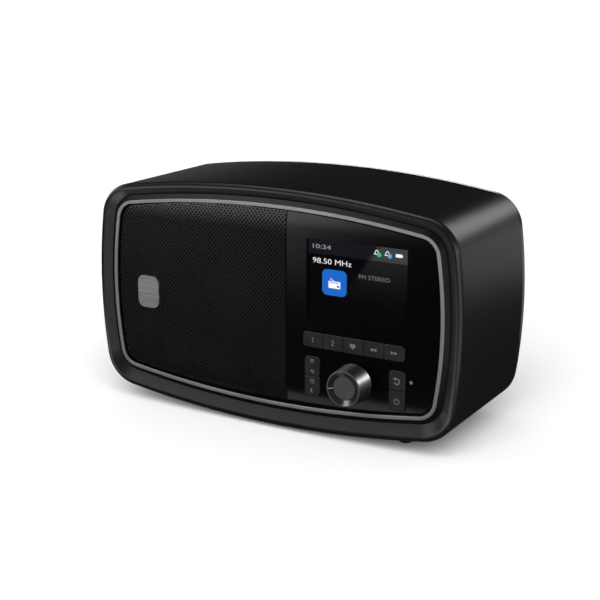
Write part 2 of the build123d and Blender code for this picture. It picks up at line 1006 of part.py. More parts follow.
def make_surround():
    # Half roll between the basket's seat and the cone's rim
    seat = surround_seat()
    face = seat - surround_thickness
    outer = basket_seat_radius - running_gap
    inner = cone_rim_radius - surround_lip
    roll_outer = basket_seat_radius - surround_lip
    roll_middle = (roll_outer + cone_rim_radius) / 2
    crest = face - surround_roll_height
    hollow = crest + surround_thickness
    edges = [
        Polyline((roll_outer, seat), (outer, seat), (outer, face), (roll_outer, face)),
        ThreePointArc((roll_outer, face), (roll_middle, crest), (cone_rim_radius, face)),
        Polyline((cone_rim_radius, face), (inner, face), (inner, seat), (cone_rim_radius, seat)),
        ThreePointArc((cone_rim_radius, seat), (roll_middle, hollow), (roll_outer, seat)),
    ]
    return turned_face(edges)


def turned_face(edges):
    profile = Plane(origin=(speaker_x, front_y, speaker_z), x_dir=(1, 0, 0), z_dir=(0, 0, 1))
    axis = Axis((speaker_x, front_y, speaker_z), (0, 1, 0))
    return revolve(profile * make_face(edges), axis)


def cone_rim_depth():
    return surround_seat()


def make_cone():
    rim = cone_rim_depth()
    neck = rim + cone_depth
    inner_rim = cone_rim_radius - surround_lip
    points = [
        (inner_rim, rim),
        (cone_rim_radius, rim),
        (cone_rim_radius, rim + cone_thickness),
        (inner_rim, rim + cone_thickness),
        (cone_neck_radius, neck + cone_thickness),
        (cone_neck_radius, neck - cone_thickness),
    ]
    return turned(points, speaker_x, speaker_z)


def make_coil():
    start = cone_rim_depth() + cone_depth - cone_thickness
    outer = cone_neck_radius
    inner = cone_neck_radius - coil_thickness
    end = start + coil_length
    return rod(outer, start, end, speaker_x, speaker_z) - rod(inner, start, end, speaker_x, speaker_z)


def make_dust_cap():
    # Dome glued to the front end of the coil former
    base = cone_rim_depth() + cone_depth - cone_thickness
    radius = cone_neck_radius
    edges = []
    for gap in (0, dust_cap_thickness):
        crest = base - dust_cap_height + gap
        rim = radius - gap
        bow = (rim ** 2 + dust_cap_height ** 2) / (2 * dust_cap_height)
        half = math.asin(rim / bow) / 2
        middle = (bow * math.sin(half), crest + bow * (1 - math.cos(half)))
        edges.append(ThreePointArc((0, crest), middle, (rim, crest + dust_cap_height)))
    edges.append(Line((0, base - dust_cap_height), (0, base - dust_cap_height + dust_cap_thickness)))
    edges.append(
        Polyline((radius, base), (radius - dust_cap_thickness, base + dust_cap_thickness))
    )
    cap = turned_face(edges)
    return cap & rod(radius, base - 2 * dust_cap_height, base, speaker_x, speaker_z)


def magnet_front():
    return baffle_back + basket_depth + basket_wall


def make_magnet():
    start = magnet_front()
    end = start + magnet_thickness
    ring = rod(magnet_radius, start, end, speaker_x, speaker_z)
    return ring - rod(magnet_hole_radius, start, end, speaker_x, speaker_z)


def make_yoke():
    pole_start = baffle_back + basket_depth
    plate_start = magnet_front() + magnet_thickness
    plate_end = plate_start + yoke_thickness
    plate_radius = magnet_radius - yoke_thickness / 2
    points = [
        (0, pole_start),
        (pole_radius, pole_start),
        (pole_radius, plate_start),
        (plate_radius, plate_start),
        (plate_radius, plate_end),
        (0, plate_end),
    ]
    return turned(points, speaker_x, speaker_z)


def make_speaker_screws():
    seat = baffle_back + basket_flange
    tip = seat - screw_grip + screw_head_height
    return Compound(children=[screw(x, z, seat, tip) for x, z in speaker_screw_places()])


# Boards, sockets, battery and wiring

def make_front_board():
    board = block(
        controls_x - front_board_width / 2,
        controls_x + front_board_width / 2,
        front_board_front,
        front_board_back,
        front_board_bottom,
        front_board_top,
    )
    for across, height in front_board_places():
        board -= pilot(across, height, front_board_front, front_board_back)
    return board


def make_front_board_screws():
    tip = front_board_front - screw_grip + screw_head_height
    return Compound(children=[screw(x, z, front_board_back, tip) for x, z in front_board_places()])


def make_main_board():
    board = block(
        main_board_left,
        main_board_right,
        main_board_front,
        main_board_back,
        cabinet_mid - main_board_bottom,
        cabinet_mid + main_board_top,
    )
    for across, height in main_board_places():
        board -= pilot(across, height, main_board_front, main_board_back)
    return board


def make_main_board_screws():
    tip = main_board_back + screw_grip - screw_head_height
    return Compound(children=[screw(x, z, main_board_front, tip) for x, z in main_board_places()])


def jack_place():
    return sockets_across + jack_from_middle, cabinet_mid - sockets_drop


def charge_place():
    return sockets_across + charge_from_middle, cabinet_mid - sockets_drop


def make_jack():
    across, height = jack_place()
    shoulder = cover_inside - fit_gap
    jack = prism(Rectangle(jack_side, jack_side), main_board_back, shoulder, height, across)
    jack += rod(jack_nose_radius, shoulder, socket_face, across, height)
    return jack - rod(jack_bore_radius, socket_face - jack_bore_length, socket_face, across, height)


def make_charge_socket():
    across, height = charge_place()
    outer = SlotOverall(charge_width, charge_height)
    inner = SlotOverall(charge_width - 2 * charge_shell, charge_height - 2 * charge_shell)
    tongue_sketch = Rectangle(charge_tongue_width, charge_tongue_thickness)
    mouth = socket_face - charge_depth
    socket = prism(outer, main_board_back, socket_face, height, across)
    socket -= prism(inner, mouth, socket_face, height, across)
    return socket + prism(tongue_sketch, mouth, socket_face - charge_tongue_thickness, height, across)


def make_battery():
    height = cabinet_mid - battery_drop
    sketch = Rectangle(battery_width, battery_height)
    pack = prism(sketch, cover_inside - battery_depth, cover_inside, height, battery_across)
    return fillet(pack.edges().filter_by(Axis.X), battery_round)


def make_bracket():
    # Sheet strap bent over the pack, with a tab at each end
    height = cabinet_mid - battery_drop
    half = battery_height / 2
    outer = half + bracket_sheet
    end = outer + bracket_tab
    front = cover_inside - battery_depth
    tab_front = cover_inside - bracket_sheet
    left = battery_across - bracket_width / 2
    right = battery_across + bracket_width / 2
    strap = block(left, right, front - bracket_sheet, front, height - outer, height + outer)
    strap += block(left, right, front, cover_inside, height - outer, height - half)
    strap += block(left, right, front, cover_inside, height + half, height + outer)
    strap += block(left, right, tab_front, cover_inside, height - end, height - outer)
    strap += block(left, right, tab_front, cover_inside, height + outer, height + end)
    for across, place in bracket_screw_places():
        strap -= pilot(across, place, cover_inside - bracket_sheet, cover_inside)
    return strap


def make_bracket_screws():
    seat = cover_inside - bracket_sheet
    tip = cover_inside + bracket_screw_grip - screw_fit
    return Compound(children=[screw(x, z, seat, tip) for x, z in bracket_screw_places()])


def make_cable():
    front_z = front_mid - cable_front_drop
    back_z = front_mid + cable_back_rise
    start = front_board_back + plug_depth
    end = main_board_front - plug_depth
    third = (end - start) / 3
    side = Plane(origin=(controls_x - cable_width / 2, front_y, 0), x_dir=(0, 1, 0), z_dir=(1, 0, 0))
    path = FilletPolyline(
        (start, front_z), (start + third, front_z), (end - third, back_z), (end, back_z), radius=cable_bend
    )
    cable = extrude(side * trace(path, cable_thickness), amount=cable_width)
    left = controls_x - cable_width / 2 - plug_overhang
    right = controls_x + cable_width / 2 + plug_overhang
    half = plug_height / 2
    cable += block(left, right, front_board_back, start, front_z - half, front_z + half)
    return cable + block(left, right, end, main_board_front, back_z - half, back_z + half)


def make_lead():
    height = cabinet_mid + lead_rise
    start_x = speaker_x + basket_radius - lead_radius - fit_gap
    start_y = front_y + baffle_back + basket_flange
    turn_y = front_y + lead_turn_depth
    end_y = front_y + main_board_front
    path = FilletPolyline(
        (start_x, start_y, height),
        (start_x, turn_y, height),
        (lead_end_across, turn_y, height),
        (lead_end_across, end_y, height),
        radius=lead_bend,
    )
    section = Plane(origin=(start_x, start_y, height), z_dir=(0, 1, 0)) * Circle(lead_radius)
    return sweep(section, path)


# Rear cover

def make_cover():
    cover = prism(bowed_outline(cabinet_form), shell_back, cabinet_depth, cabinet_mid)
    cover = fillet(back_edges(cover), rear_round)
    hollow = bowed_outline(inset_form(cabinet_form, cabinet_wall))
    cover -= prism(hollow, shell_back, cover_inside, cabinet_mid)
    lip_outer = bowed_outline(inset_form(cabinet_form, cabinet_wall + fit_gap))
    lip_root = bowed_outline(inset_form(cabinet_form, cabinet_wall - fit_gap))
    lip_inner = bowed_outline(inset_form(cabinet_form, cabinet_wall + fit_gap + lip_wall))
    cover += prism(lip_outer - lip_inner, shell_back - lip_depth, shell_back, cabinet_mid)
    cover += prism(lip_root - lip_inner, shell_back, cover_inside, cabinet_mid)
    recess = RectangleRounded(socket_recess_width, socket_recess_height, socket_recess_corner)
    cover -= prism(recess, socket_face, cabinet_depth, cabinet_mid - sockets_drop, sockets_across)
    across, height = jack_place()
    cover -= rod(jack_nose_radius + socket_gap, cover_inside, cabinet_depth, across, height)
    across, height = charge_place()
    mouth = SlotOverall(charge_width + 2 * socket_gap, charge_height + 2 * socket_gap)
    cover -= prism(mouth, cover_inside, cabinet_depth, height, across)
    for index in range(vent_count):
        rise = vent_rise + (index - (vent_count - 1) / 2) * vent_pitch
        slot = SlotOverall(vent_length, vent_height)
        cover -= prism(slot, cover_inside, cabinet_depth, cabinet_mid + rise, vent_across)
    for across, height in pillar_places():
        bore = screw_head_radius + counterbore_gap
        cover -= rod(bore, cabinet_depth - counterbore_depth, cabinet_depth, across, height)
        cover -= pilot(across, height, cover_inside, cabinet_depth)
    for across, height in main_board_places():
        cover += rod(post_radius, main_board_back, cover_inside, across, height)
        cover -= pilot(across, height, main_board_back, main_board_back + screw_grip)
    for across, height in bracket_screw_places():
        cover -= pilot(across, height, cover_inside, cover_inside + bracket_screw_grip)
    boss_start = cover_inside - hub_boss_depth
    cover += rod(hub_boss_radius, boss_start, cover_inside, aerial_across, aerial_height)
    cover -= rod(hub_pin_radius + running_gap, boss_start, cabinet_depth, aerial_across, aerial_height)
    return cover


def make_case_screws():
    seat = cabinet_depth - counterbore_depth
    return Compound(children=[screw(x, z, seat, seat - case_screw_length) for x, z in pillar_places()])


# Aerial

def make_hub():
    face = cabinet_depth + hub_gap
    boss_start = cover_inside - hub_boss_depth - hub_gap
    ear_start = face + hub_thickness
    hub = rod(hub_radius, face, ear_start, aerial_across, aerial_height)
    hub += rod(hub_pin_radius, boss_start, face, aerial_across, aerial_height)
    hub += rod(hub_pin_head_radius, boss_start - hub_pin_head, boss_start, aerial_across, aerial_height)
    inner = knuckle_thickness / 2 + knuckle_gap
    for flip in (1, -1):
        ear = ear_plate()
        ear = extrude(ear, amount=ear_thickness)
        lift = aerial_height + (inner if flip > 0 else -inner - ear_thickness)
        hub += Pos(aerial_across, front_y + aerial_depth, lift) * ear
    return hub - upright_pin(hinge_pin_radius + shaft_fit, 2 * (inner + ear_thickness))


def ear_plate():
    # Ear seen from above: round end about the hinge pin, square foot on the hub
    reach = aerial_depth - cabinet_depth - hub_gap - hub_thickness
    foot = Pos(0, -reach / 2) * Rectangle(2 * ear_radius, reach)
    return Circle(ear_radius) + foot


def upright_pin(radius, length):
    pin = Cylinder(radius, length)
    return Pos(aerial_across, front_y + aerial_depth, aerial_height) * pin


def make_hinge_pin():
    return upright_pin(hinge_pin_radius, knuckle_thickness + 2 * (knuckle_gap + ear_thickness))


def along_aerial(radius, start, end):
    # Round bar from start to end, measured from the hinge towards the left
    middle = aerial_across - (start + end) / 2
    bar = Cylinder(radius, end - start, rotation=(0, 90, 0))
    return Pos(middle, front_y + aerial_depth, aerial_height) * bar


def make_knuckle():
    eye = upright_pin(knuckle_radius, knuckle_thickness)
    half = knuckle_thickness / 2
    left = aerial_across - tube_start
    eye += block(
        left,
        aerial_across,
        aerial_depth - knuckle_radius + knuckle_gap,
        aerial_depth + knuckle_radius - knuckle_gap,
        aerial_height - half,
        aerial_height + half,
    )
    eye += along_aerial(tube_outer - tube_wall - shaft_fit, tube_start, tube_start + plug_in_tube)
    return eye - upright_pin(hinge_pin_radius + running_gap, knuckle_thickness)


def section_span(index):
    start = tube_start
    if index:
        start = tube_start + inner_tube_back + (index - 1) * tube_start_step
    end = tube_start + tube_length + index * tube_end_step
    return start, end


def make_section(index):
    start, end = section_span(index)
    radius = tube_outer - index * tube_step
    section = along_aerial(radius, start, end)
    if index < aerial_sections - 1:
        return section - along_aerial(radius - tube_wall, start, end)
    tip = along_aerial(tip_radius, end, end + tip_length)
    tip = fillet(tip.faces().sort_by(Axis.X)[0].edges(), tip_round)
    return section + tip


# Every node by name

def all_nodes():
    nodes = {
        "cabinet_shell": make_cabinet(),
        "front_baffle": make_baffle(),
        "trim_ring": make_ring(),
        "speaker_grille": make_grille(),
        "badge_plate": make_badge(),
        "control_panel": make_panel(),
        "display_lens": lens_blank(0),
        "display_screen": screen_blank(0, screen_front(), screen_back()),
        "display_carrier": screen_blank(-screen_gap, screen_back(), front_board_front),
        "status_light": make_lamp(),
        "key_source": make_column_key(True),
        "key_power": make_column_key(False),
        "rocker_menu": make_rocker(True),
        "rocker_alarm": make_rocker(False),
        "tact_switches": make_switches(),
        "knob_body": make_knob_body(),
        "knob_cap": make_knob_cap(),
        "knob_pointer": make_pointer(),
        "encoder_shaft": make_shaft(),
        "encoder_case": make_encoder(),
        "encoder_rotor": make_rotor(),
        "speaker_basket": make_basket(),
        "speaker_surround": make_surround(),
        "speaker_cone": make_cone(),
        "speaker_coil": make_coil(),
        "speaker_dust_cap": make_dust_cap(),
        "speaker_magnet": make_magnet(),
        "speaker_yoke": make_yoke(),
        "speaker_screws": make_speaker_screws(),
        "front_board": make_front_board(),
        "front_board_screws": make_front_board_screws(),
        "main_board": make_main_board(),
        "main_board_screws": make_main_board_screws(),
        "headphone_socket": make_jack(),
        "charging_socket": make_charge_socket(),
        "battery_pack": make_battery(),
        "battery_bracket": make_bracket(),
        "bracket_screws": make_bracket_screws(),
        "flat_cable": make_cable(),
        "speaker_lead": make_lead(),
        "rear_cover": make_cover(),
        "case_screws": make_case_screws(),
        "aerial_hub": make_hub(),
        "aerial_hinge_pin": make_hinge_pin(),
        "aerial_knuckle": make_knuckle(),
    }
    row_names = ("key_preset_one", "key_preset_two", "key_favourite", "key_previous", "key_next")
    for name, across in zip(row_names, row_key_places()):
        nodes[name] = make_row_key(across)
    for name, (across, depth) in foot_places().items():
        nodes[name] = make_foot(across, depth)
    for index in range(aerial_sections):
        nodes[f"aerial_section_{index + 1}"] = make_section(index)
    return nodes


os.makedirs("parts", exist_ok=True)
for name, solid in all_nodes().items():
    solid.label = name
    export_step(solid, f"parts/{name}.step")
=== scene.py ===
import json
import math

import bmesh
import bpy
from mathutils import Matrix, Vector, geometry, kdtree


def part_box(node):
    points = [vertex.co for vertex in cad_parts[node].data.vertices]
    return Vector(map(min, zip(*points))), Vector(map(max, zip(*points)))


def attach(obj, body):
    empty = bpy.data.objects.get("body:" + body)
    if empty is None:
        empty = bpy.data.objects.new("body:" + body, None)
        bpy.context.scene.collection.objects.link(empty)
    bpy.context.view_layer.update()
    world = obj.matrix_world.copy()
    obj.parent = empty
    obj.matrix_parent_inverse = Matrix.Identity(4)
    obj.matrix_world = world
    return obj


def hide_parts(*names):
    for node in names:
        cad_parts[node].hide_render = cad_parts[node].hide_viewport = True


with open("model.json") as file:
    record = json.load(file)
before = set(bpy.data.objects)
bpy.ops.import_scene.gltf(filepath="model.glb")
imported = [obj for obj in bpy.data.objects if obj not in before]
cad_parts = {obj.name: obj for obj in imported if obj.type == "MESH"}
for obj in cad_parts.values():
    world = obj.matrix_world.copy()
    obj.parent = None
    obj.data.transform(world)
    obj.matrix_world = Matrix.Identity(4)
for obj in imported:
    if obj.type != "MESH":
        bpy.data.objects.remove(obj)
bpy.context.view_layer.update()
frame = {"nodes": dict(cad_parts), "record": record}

mm = 0.001
cadNodes = frame["nodes"]
ringLow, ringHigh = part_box("trim_ring")
frontMid = (ringLow.z + ringHigh.z) / 2  # middle height of the front
print("frame loaded:", len(cadNodes), "nodes")


# small helpers

def addObject(name, data):
    item = bpy.data.objects.new(name, data)
    bpy.context.collection.objects.link(item)
    return item


def aimItem(item, place, aim):
    item.location = place
    item.rotation_euler = (Vector(aim) - Vector(place)).to_track_quat("-Z", "Y").to_euler()


def meshOfForm(name, form):
    mesh = bpy.data.meshes.new(name)
    form.to_mesh(mesh)
    form.free()
    return mesh


def spread(first, last, steps):
    return [first + (last - first) * index / steps for index in range(steps + 1)]


def grey(value, tint=0.0):
    return (value * (1 - tint), value, value * (1 + tint))


# camera

cameraSetup = {
    "place": (0.3580, -0.6245, 0.2561),
    "target": (0.02054, -0.0444, 0.07549),
    "lens": 79.27,
    "sensor": 36.0,
    "nearest": 0.01,  # what is closer isn't seen
}


def addCamera(setup):
    data = bpy.data.cameras.new("camera")
    data.lens = setup["lens"]
    data.sensor_width = setup["sensor"]
    data.sensor_fit = "HORIZONTAL"
    data.clip_start = setup["nearest"]
    camera = addObject("camera", data)
    aimItem(camera, setup["place"], setup["target"])
    bpy.context.scene.camera = camera


addCamera(cameraSetup)
bpy.context.scene.view_settings.view_transform = "Standard"
print("camera placed")


# small helpers for shader trees

def startFinish(name):
    finish = bpy.data.materials.new(name)
    finish.use_nodes = True
    tree = finish.node_tree
    return finish, tree, tree.nodes["Principled BSDF"]


def objectPlace(tree):
    return tree.nodes.new("ShaderNodeTexCoord").outputs["Object"]


def noiseOf(tree, place, scale, detail=2.0):
    node = tree.nodes.new("ShaderNodeTexNoise")
    node.inputs["Scale"].default_value = scale
    node.inputs["Detail"].default_value = detail
    tree.links.new(place, node.inputs["Vector"])
    return node.outputs[0]


def rampOf(tree, value, dark, light, start=0.35, end=0.65):
    node = tree.nodes.new("ShaderNodeValToRGB")
    node.color_ramp.elements[0].position = start
    node.color_ramp.elements[1].position = end
    node.color_ramp.elements[0].color = (*dark, 1)
    node.color_ramp.elements[1].color = (*light, 1)
    tree.links.new(value, node.inputs[0])
    return node.outputs[0]


def rangeOf(tree, value, low, high, start=0.3, end=0.7):
    node = tree.nodes.new("ShaderNodeMapRange")
    node.inputs["From Min"].default_value = start
    node.inputs["From Max"].default_value = end
    node.inputs["To Min"].default_value = low
    node.inputs["To Max"].default_value = high
    tree.links.new(value, node.inputs["Value"])
    return node.outputs[0]


def mathOf(tree, kind, first, second):
    node = tree.nodes.new("ShaderNodeMath")
    node.operation = kind
    for slot, value in enumerate((first, second)):
        if isinstance(value, (int, float)):
            node.inputs[slot].default_value = value
        else:
            tree.links.new(value, node.inputs[slot])
    return node.outputs[0]


def splitPlace(tree, place):
    node = tree.nodes.new("ShaderNodeSeparateXYZ")
    tree.links.new(place, node.inputs[0])
    return node.outputs


def bumpInto(tree, shader, height, strength, distance):
    node = tree.nodes.new("ShaderNodeBump")
    node.inputs["Strength"].default_value = strength
    node.inputs["Distance"].default_value = distance
    tree.links.new(height, node.inputs["Height"])
    tree.links.new(node.outputs[0], shader.inputs["Normal"])


def plainFinish(name, look):
    # colour drifts slowly, roughness and bump follow a fine grain
    finish, tree, shader = startFinish(name)
    place = objectPlace(tree)
    cloud = noiseOf(tree, place, look["cloud"], 3)
    grain = noiseOf(tree, place, look["grain"], 2)
    tree.links.new(rampOf(tree, cloud, look["dark"], look["light"]), shader.inputs["Base Color"])
    tree.links.new(rangeOf(tree, grain, look["smooth"], look["rough"]), shader.inputs["Roughness"])
    bumpInto(tree, shader, grain, look["bump"], look["bumpDepth"])
    shader.inputs["Metallic"].default_value = look.get("metal", 0.0)
    shader.inputs["Specular IOR Level"].default_value = look.get("gloss", 0.5)
    return finish


def brushedFinish(name, look):
    # fine level lines drawn out along the surface
    finish, tree, shader = startFinish(name)
    stretch = tree.nodes.new("ShaderNodeMapping")
    stretch.inputs["Scale"].default_value = look["stretch"]
    tree.links.new(objectPlace(tree), stretch.inputs["Vector"])
    lines = noiseOf(tree, stretch.outputs[0], 1.0, 3)
    tree.links.new(rampOf(tree, lines, look["dark"], look["light"]), shader.inputs["Base Color"])
    tree.links.new(rangeOf(tree, lines, look["smooth"], look["rough"]), shader.inputs["Roughness"])
    bumpInto(tree, shader, lines, look["bump"], look["bumpDepth"])
    shader.inputs["Metallic"].default_value = look["metal"]
    return finish


def dress(finish, *names):
    for name in names:
        cadNodes[name].material_slots[0].material = finish


# studio and its lamps

studio = {
    "skyStrength": 0.55,
    "backdropStrength": 1.0,  # what the camera sees past the floor
    "gleamStrength": 0.02,  # what the glossy faces see between the softboxes
    "fillFrom": (0.50, -1.25, 0.95),  # lights the floor alone
    "fillStrength": 3.75,
    "fillAngle": 65.0,
}


def glowOf(tree, strength):
    node = tree.nodes.new("ShaderNodeBackground")
    node.inputs["Color"].default_value = (1, 1, 1, 1)
    node.inputs["Strength"].default_value = strength
    return node.outputs[0]


def mixGlow(tree, amount, first, second):
    node = tree.nodes.new("ShaderNodeMixShader")
    for slot, value in enumerate((amount, first, second)):
        tree.links.new(value, node.inputs[slot])
    return node.outputs[0]


def addStudio(setup):
    world = bpy.data.worlds.new("studio")
    bpy.context.scene.world = world
    world.use_nodes = True
    tree = world.node_tree
    tree.nodes.clear()
    rays = tree.nodes.new("ShaderNodeLightPath").outputs
    mirrored = mathOf(tree, "MAXIMUM", rays["Is Glossy Ray"], rays["Is Transmission Ray"])
    lit = mixGlow(tree, mirrored, glowOf(tree, setup["skyStrength"]), glowOf(tree, setup["gleamStrength"]))
    seen = mixGlow(tree, rays["Is Camera Ray"], lit, glowOf(tree, setup["backdropStrength"]))
    out = tree.nodes.new("ShaderNodeOutputWorld")
    tree.links.new(seen, out.inputs["Surface"])


addStudio(studio)

radioMid = (0, 0, 0.07)  # what a softbox aims at
knobFront = (0.05, -0.05, 0.035)


def softbox(place, aim, size, power):
    return {"place": place, "aim": aim, "size": size, "power": power}


def floorCard(place, size, power):
    # lies flat and shines straight up
    return softbox(place, (*place[:2], 1), size, power)


softboxes = {
    "boxFrontLeft": softbox((-0.655, -0.895, 0.30), radioMid, (0.47, 0.40), 1.96),
    "boxRearRight": softbox((0.214, 0.29, 0.281), (0.1, -0.03, 0.12), (0.17, 0.20), 0.265),
    "boxRearLeft": softbox((-0.55, 0.90, 0.13), (0, 0, 0.13), (0.90, 0.08), 0.13),
    "boxRight": softbox((0.80, -0.58, 0.17), knobFront, (0.50, 0.30), 1.9),
    "boxFarRight": softbox((1.20, 0.15, 0.30), (0.11, 0, 0.07), (0.50, 0.40), 1.8),
    "boxFarLeft": softbox((-1.20, 0.10, 0.45), (-0.11, 0, 0.07), (0.50, 0.50), 3.0),
    "boxOverhead": softbox((-0.45, -0.25, 1.15), radioMid, (0.7, 0.5), 2.0),
    "cardRight": floorCard((0.36, -0.16, 0.002), (0.36, 0.16), 0.30),
    "cardSide": floorCard((0.50, 0.78, 0.002), (0.60, 0.76), 0.75),
}
frontLights = {  # for all but the cabinet
    "boxFrontHigh": softbox((-0.63, -0.86, 0.75), radioMid, (0.47, 0.50), 2.43),
}
rimLights = {  # for the cabinet alone
    "cardFront": floorCard((-0.055, -0.098, 0.002), (0.37, 0.055), 0.15),
    "boxAbove": softbox((-0.02, -0.27, 1.15), (0.05, 0, 0.12), (0.86, 0.30), 2.3),
    "boxTail": softbox((0.52, 0.91, 0.125), (0.105, 0, 0.125), (0.50, 0.22), 0.16),
    "cardAhead": floorCard((0.04, -0.28, 0.002), (0.16, 0.26), 0.15),
}
ringLights = {  # for the trim ring alone
    "boxRing": softbox((-0.14, -0.435, 0.03), (0.06, -0.04, 0.118), (0.25, 0.06), 0.10),
}
panelLights = {  # for the control panel alone
    "boxPanel": softbox((-0.26, -0.40, 0.08), (0.01, -0.04, 0.11), (0.14, 0.12), 0.075),
    "cardPanel": floorCard((-0.22, -0.43, 0.002), (0.09, 0.13), 0.055),
    "cardLowLeft": floorCard((-0.01, -0.0545, 0.008), (0.08, 0.014), 0.0035),
    "cardLowRight": floorCard((0.07, -0.063, 0.008), (0.08, 0.02), 0.0055),
}
rearLights = {  # for the back alone
    "boxBack": softbox((-0.50, 1.20, 0.55), radioMid, (0.60, 0.40), 4.0),
    "cardBack": floorCard((0, 0.62, 0.002), (1.60, 0.90), 2.7),
}


def addLamp(name, setup):
    data = bpy.data.lights.new(name, "AREA")
    data.shape = "RECTANGLE"
    data.size, data.size_y = setup["size"]
    data.energy = setup["power"]
    lamp = addObject(name, data)
    aimItem(lamp, setup["place"], setup["aim"])
    lamp.visible_camera = False
    return lamp


def addLamps(setups):
    return [addLamp(name, setup) for name, setup in setups.items()]


def linkLight(name, state, pieces, group):
    # a group of lamps lights only these pieces, or leaves them out
    linked = bpy.data.collections.get(name) or bpy.data.collections.new(name)
    for piece in pieces:
        linked.objects.link(piece)
        linked.collection_objects[-1].light_linking.link_state = state
    for lamp in group:
        lamp.light_linking.receiver_collection = linked


def lightPieces(name, pieces, setups):
    linkLight(name, "INCLUDE", pieces, addLamps(setups))


lamps = addLamps(softboxes)
frontLamps = addLamps(frontLights)
print("studio lit:", len(softboxes), "softboxes")


# floor

floorLook = {
    "reach": 9.0, "squares": 8, "dark": grey(0.915), "light": grey(0.94), "cloud": 1.5, "grain": 300.0,
    "smooth": 0.75, "rough": 0.9, "bump": 0.05, "bumpDepth": 0.0005, "gloss": 0.1,
}


def makeFloor(look):
    form = bmesh.new()
    squares = look["squares"]
    bmesh.ops.create_grid(form, x_segments=squares, y_segments=squares, size=look["reach"])
    mesh = meshOfForm("floor", form)
    mesh.materials.append(plainFinish("paleFloor", look))
    floor = addObject("floor", mesh)
    floor.visible_glossy = False
    floor.visible_transmission = False
    return floor


def lightFloor(floor, setup):
    # a soft fill lights the floor alone and the softboxes leave it out, so its shadow stays faint
    sun = bpy.data.lights.new("floorFill", "SUN")
    sun.energy = setup["fillStrength"]
    sun.angle = math.radians(setup["fillAngle"])
    fill = addObject("floorFill", sun)
    fill.rotation_euler = Vector(setup["fillFrom"]).to_track_quat("Z", "Y").to_euler()
    linkLight("floorOnly", "INCLUDE", [floor], [fill])
    linkLight("softboxesLeaveOut", "EXCLUDE", [floor], lamps)
    linkLight("frontLeavesOut", "EXCLUDE", [floor, cadNodes["cabinet_shell"]], frontLamps)


lightFloor(makeFloor(floorLook), studio)
lightPieces("rimOnly", [cadNodes["cabinet_shell"]], rimLights)
lightPieces("ringOnly", [cadNodes["trim_ring"]], ringLights)
lightPieces("panelOnly", [cadNodes["control_panel"]], panelLights)
print("floor laid")


# finishes of the parts that keep their solid

cabinetLook = {
    "dark": grey(0.0040, 0.02), "light": grey(0.0058, 0.02), "cloud": 9.0, "grain": 2600.0,
    "smooth": 0.30, "rough": 0.38, "bump": 0.10, "bumpDepth": 0.00004, "gloss": 0.45,
}
# the baffle is the cabinet's black plastic; its darker colour is painted shade on the collar in the recess
baffleShadedLook = dict(cabinetLook, dark=grey(0.0024), light=grey(0.0036), smooth=0.34, rough=0.42, gloss=0.3)
ringLook = {
    "dark": grey(0.29), "light": grey(0.34), "cloud": 40.0, "grain": 3500.0,
    "smooth": 0.36, "rough": 0.46, "bump": 0.06, "bumpDepth": 0.00003, "metal": 0.75,
}
panelLook = {
    "dark": grey(0.0004), "light": grey(0.0008), "cloud": 14.0, "grain": 900.0,
    "smooth": 0.22, "rough": 0.25, "bump": 0.004, "bumpDepth": 0.00002, "gloss": 0.3,
}
keyLook = {
    "dark": grey(0.011), "light": grey(0.015), "cloud": 90.0, "grain": 3600.0,
    "smooth": 0.42, "rough": 0.52, "bump": 0.12, "bumpDepth": 0.00003, "gloss": 0.4,
}
badgeLook = {
    "dark": grey(0.42), "light": grey(0.58), "stretch": (40, 40, 2600),
    "smooth": 0.28, "rough": 0.44, "bump": 0.10, "bumpDepth": 0.00003, "metal": 0.8,
}
capLook = {
    "dark": grey(0.042), "light": grey(0.051), "cloud": 150.0, "grain": 3000.0,
    "smooth": 0.42, "rough": 0.52, "bump": 0.08, "bumpDepth": 0.00002, "gloss": 0.35,
}
pointerLook = {
    "dark": grey(0.20), "light": grey(0.26), "cloud": 300.0, "grain": 3000.0,
    "smooth": 0.4, "rough": 0.5, "bump": 0.05, "bumpDepth": 0.00001,
}
rubberLook = {
    "dark": grey(0.008), "light": grey(0.013), "cloud": 200.0, "grain": 2400.0,
    "smooth": 0.70, "rough": 0.85, "bump": 0.25, "bumpDepth": 0.00006, "gloss": 0.3,
}
chromeLook = {
    "dark": grey(0.55), "light": grey(0.66), "cloud": 60.0, "grain": 900.0,
    "smooth": 0.10, "rough": 0.18, "bump": 0.02, "bumpDepth": 0.00002, "metal": 1.0,
}
steelLook = {
    "dark": grey(0.40), "light": grey(0.55), "cloud": 80.0, "grain": 2500.0,
    "smooth": 0.25, "rough": 0.40, "bump": 0.08, "bumpDepth": 0.00003, "metal": 1.0,
}
blackSteelLook = dict(steelLook, dark=grey(0.06), light=grey(0.09), smooth=0.3, rough=0.45)
innerLook = dict(cabinetLook, dark=grey(0.03), light=grey(0.045), smooth=0.5, rough=0.65)
boardLook = {
    "dark": (0.008, 0.075, 0.030), "light": (0.014, 0.105, 0.045), "cloud": 120.0, "grain": 1500.0,
    "smooth": 0.35, "rough": 0.5, "bump": 0.1, "bumpDepth": 0.00004,
}
coneLook = dict(rubberLook, dark=grey(0.012), light=grey(0.022), grain=900.0, bump=0.35, bumpDepth=0.0001)
magnetLook = dict(steelLook, dark=grey(0.05), light=grey(0.08), metal=0.3, smooth=0.55, rough=0.7)
coilLook = dict(steelLook, dark=(0.42, 0.20, 0.08), light=(0.58, 0.30, 0.13))
batteryLook = dict(panelLook, dark=(0.02, 0.05, 0.16), light=(0.03, 0.07, 0.21), smooth=0.3, rough=0.4)
wireLook = dict(innerLook, dark=grey(0.26), light=grey(0.34))

rowKeys = ["key_preset_one", "key_preset_two", "key_favourite", "key_previous", "key_next"]
columnKeys = ["rocker_menu", "rocker_alarm", "key_source", "key_power"]
footNodes = [name for name in cadNodes if name.startswith("foot_")]
aerialNodes = [name for name in cadNodes if name.startswith("aerial_")]
screwNodes = [name for name in cadNodes if name.endswith("_screws")]

